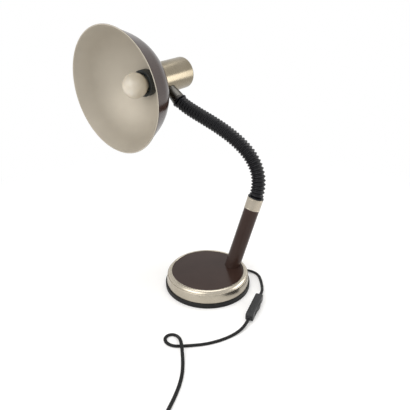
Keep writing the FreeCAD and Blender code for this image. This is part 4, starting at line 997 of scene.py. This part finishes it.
def floor():
    """A pale floor that keeps the lamp's soft shadow and passes into the white backdrop further out."""
    material, nodes, links, shader = node_material("floor")
    shader.inputs["Base Color"].default_value = (FLOOR_GREY, FLOOR_GREY, FLOOR_GREY, 1)
    shader.inputs["Roughness"].default_value = 0.9
    shader.inputs["Specular IOR Level"].default_value = 0.1
    seen = seen_by_eye(nodes, links)
    glow = nodes.new("ShaderNodeMath")
    glow.operation = "MULTIPLY"
    glow.inputs[1].default_value = FLOOR_GLOW
    links.new(seen, glow.inputs[0])
    shader.inputs["Emission Color"].default_value = (1, 1, 1, 1)
    links.new(glow.outputs["Value"], shader.inputs["Emission Strength"])
    centre = nodes.new("ShaderNodeVectorMath")
    centre.operation = "LENGTH"
    links.new(nodes.new("ShaderNodeTexCoord").outputs["Object"], centre.inputs[0])
    far = nodes.new("ShaderNodeMapRange")
    far.interpolation_type = "SMOOTHSTEP"
    far.inputs["From Min"].default_value = WHITE_FROM
    far.inputs["From Max"].default_value = WHITE_BY
    links.new(centre.outputs["Value"], far.inputs["Value"])
    backdrop = nodes.new("ShaderNodeMath")
    backdrop.operation = "MULTIPLY"
    links.new(far.outputs["Result"], backdrop.inputs[0])
    links.new(seen, backdrop.inputs[1])
    white = nodes.new("ShaderNodeEmission")
    mix = nodes.new("ShaderNodeMixShader")
    links.new(backdrop.outputs["Value"], mix.inputs["Fac"])
    links.new(shader.outputs["BSDF"], mix.inputs[1])
    links.new(white.outputs["Emission"], mix.inputs[2])
    links.new(mix.outputs["Shader"], nodes["Material Output"].inputs["Surface"])
    corners = [(x * FLOOR_HALF, y * FLOOR_HALF, 0) for x, y in ((-1, -1), (1, -1), (1, 1), (-1, 1))]
    obj = mesh_object("floor", corners, [(0, 1, 2, 3)], [material])


def world():
    """White to the eye and in reflections, and a plain level of soft light on the lamp."""
    scene_world = bpy.data.worlds.new("studio")
    bpy.context.scene.world = scene_world
    scene_world.use_nodes = True
    nodes, links = scene_world.node_tree.nodes, scene_world.node_tree.links
    nodes.clear()
    seen = seen_by_eye(nodes, links)
    soft = nodes.new("ShaderNodeBackground")
    soft.inputs["Color"].default_value = (1.0, 0.985, 0.96, 1)
    soft.inputs["Strength"].default_value = SOFT_LEVEL
    white = nodes.new("ShaderNodeBackground")
    white.inputs["Color"].default_value = (1, 1, 1, 1)
    white.inputs["Strength"].default_value = 1.0
    mix = nodes.new("ShaderNodeMixShader")
    out = nodes.new("ShaderNodeOutputWorld")
    links.new(seen, mix.inputs["Fac"])
    links.new(soft.outputs["Background"], mix.inputs[1])
    links.new(white.outputs["Background"], mix.inputs[2])
    links.new(mix.outputs["Shader"], out.inputs["Surface"])


def softbox(name, location, target, size, power, colour=(1, 1, 1)):
    data = bpy.data.lights.new(name, "AREA")
    data.shape = "RECTANGLE"
    data.size, data.size_y = size
    data.energy = power
    data.color = colour
    lamp = bpy.data.objects.new(name, data)
    lamp.location = location
    lamp.rotation_euler = (Vector(target) - Vector(location)).to_track_quat("-Z", "Y").to_euler()
    bpy.context.scene.collection.objects.link(lamp)


floor()
world()
softbox("key", (-1.5, -0.9, 1.2), MID_LAMP, (1.8, 1.6), 22, (1.0, 0.98, 0.95))
softbox("low_fill", (1.1, -0.3, 0.28), (0, 0.1, 0.3), (0.8, 0.7), 7, (1.0, 0.99, 0.97))
softbox("top", (0.1, 0.5, 1.9), (0, 0.05, 0.2), (1.6, 1.2), 14)

view = bpy.context.scene.view_settings
view.view_transform = "Standard"
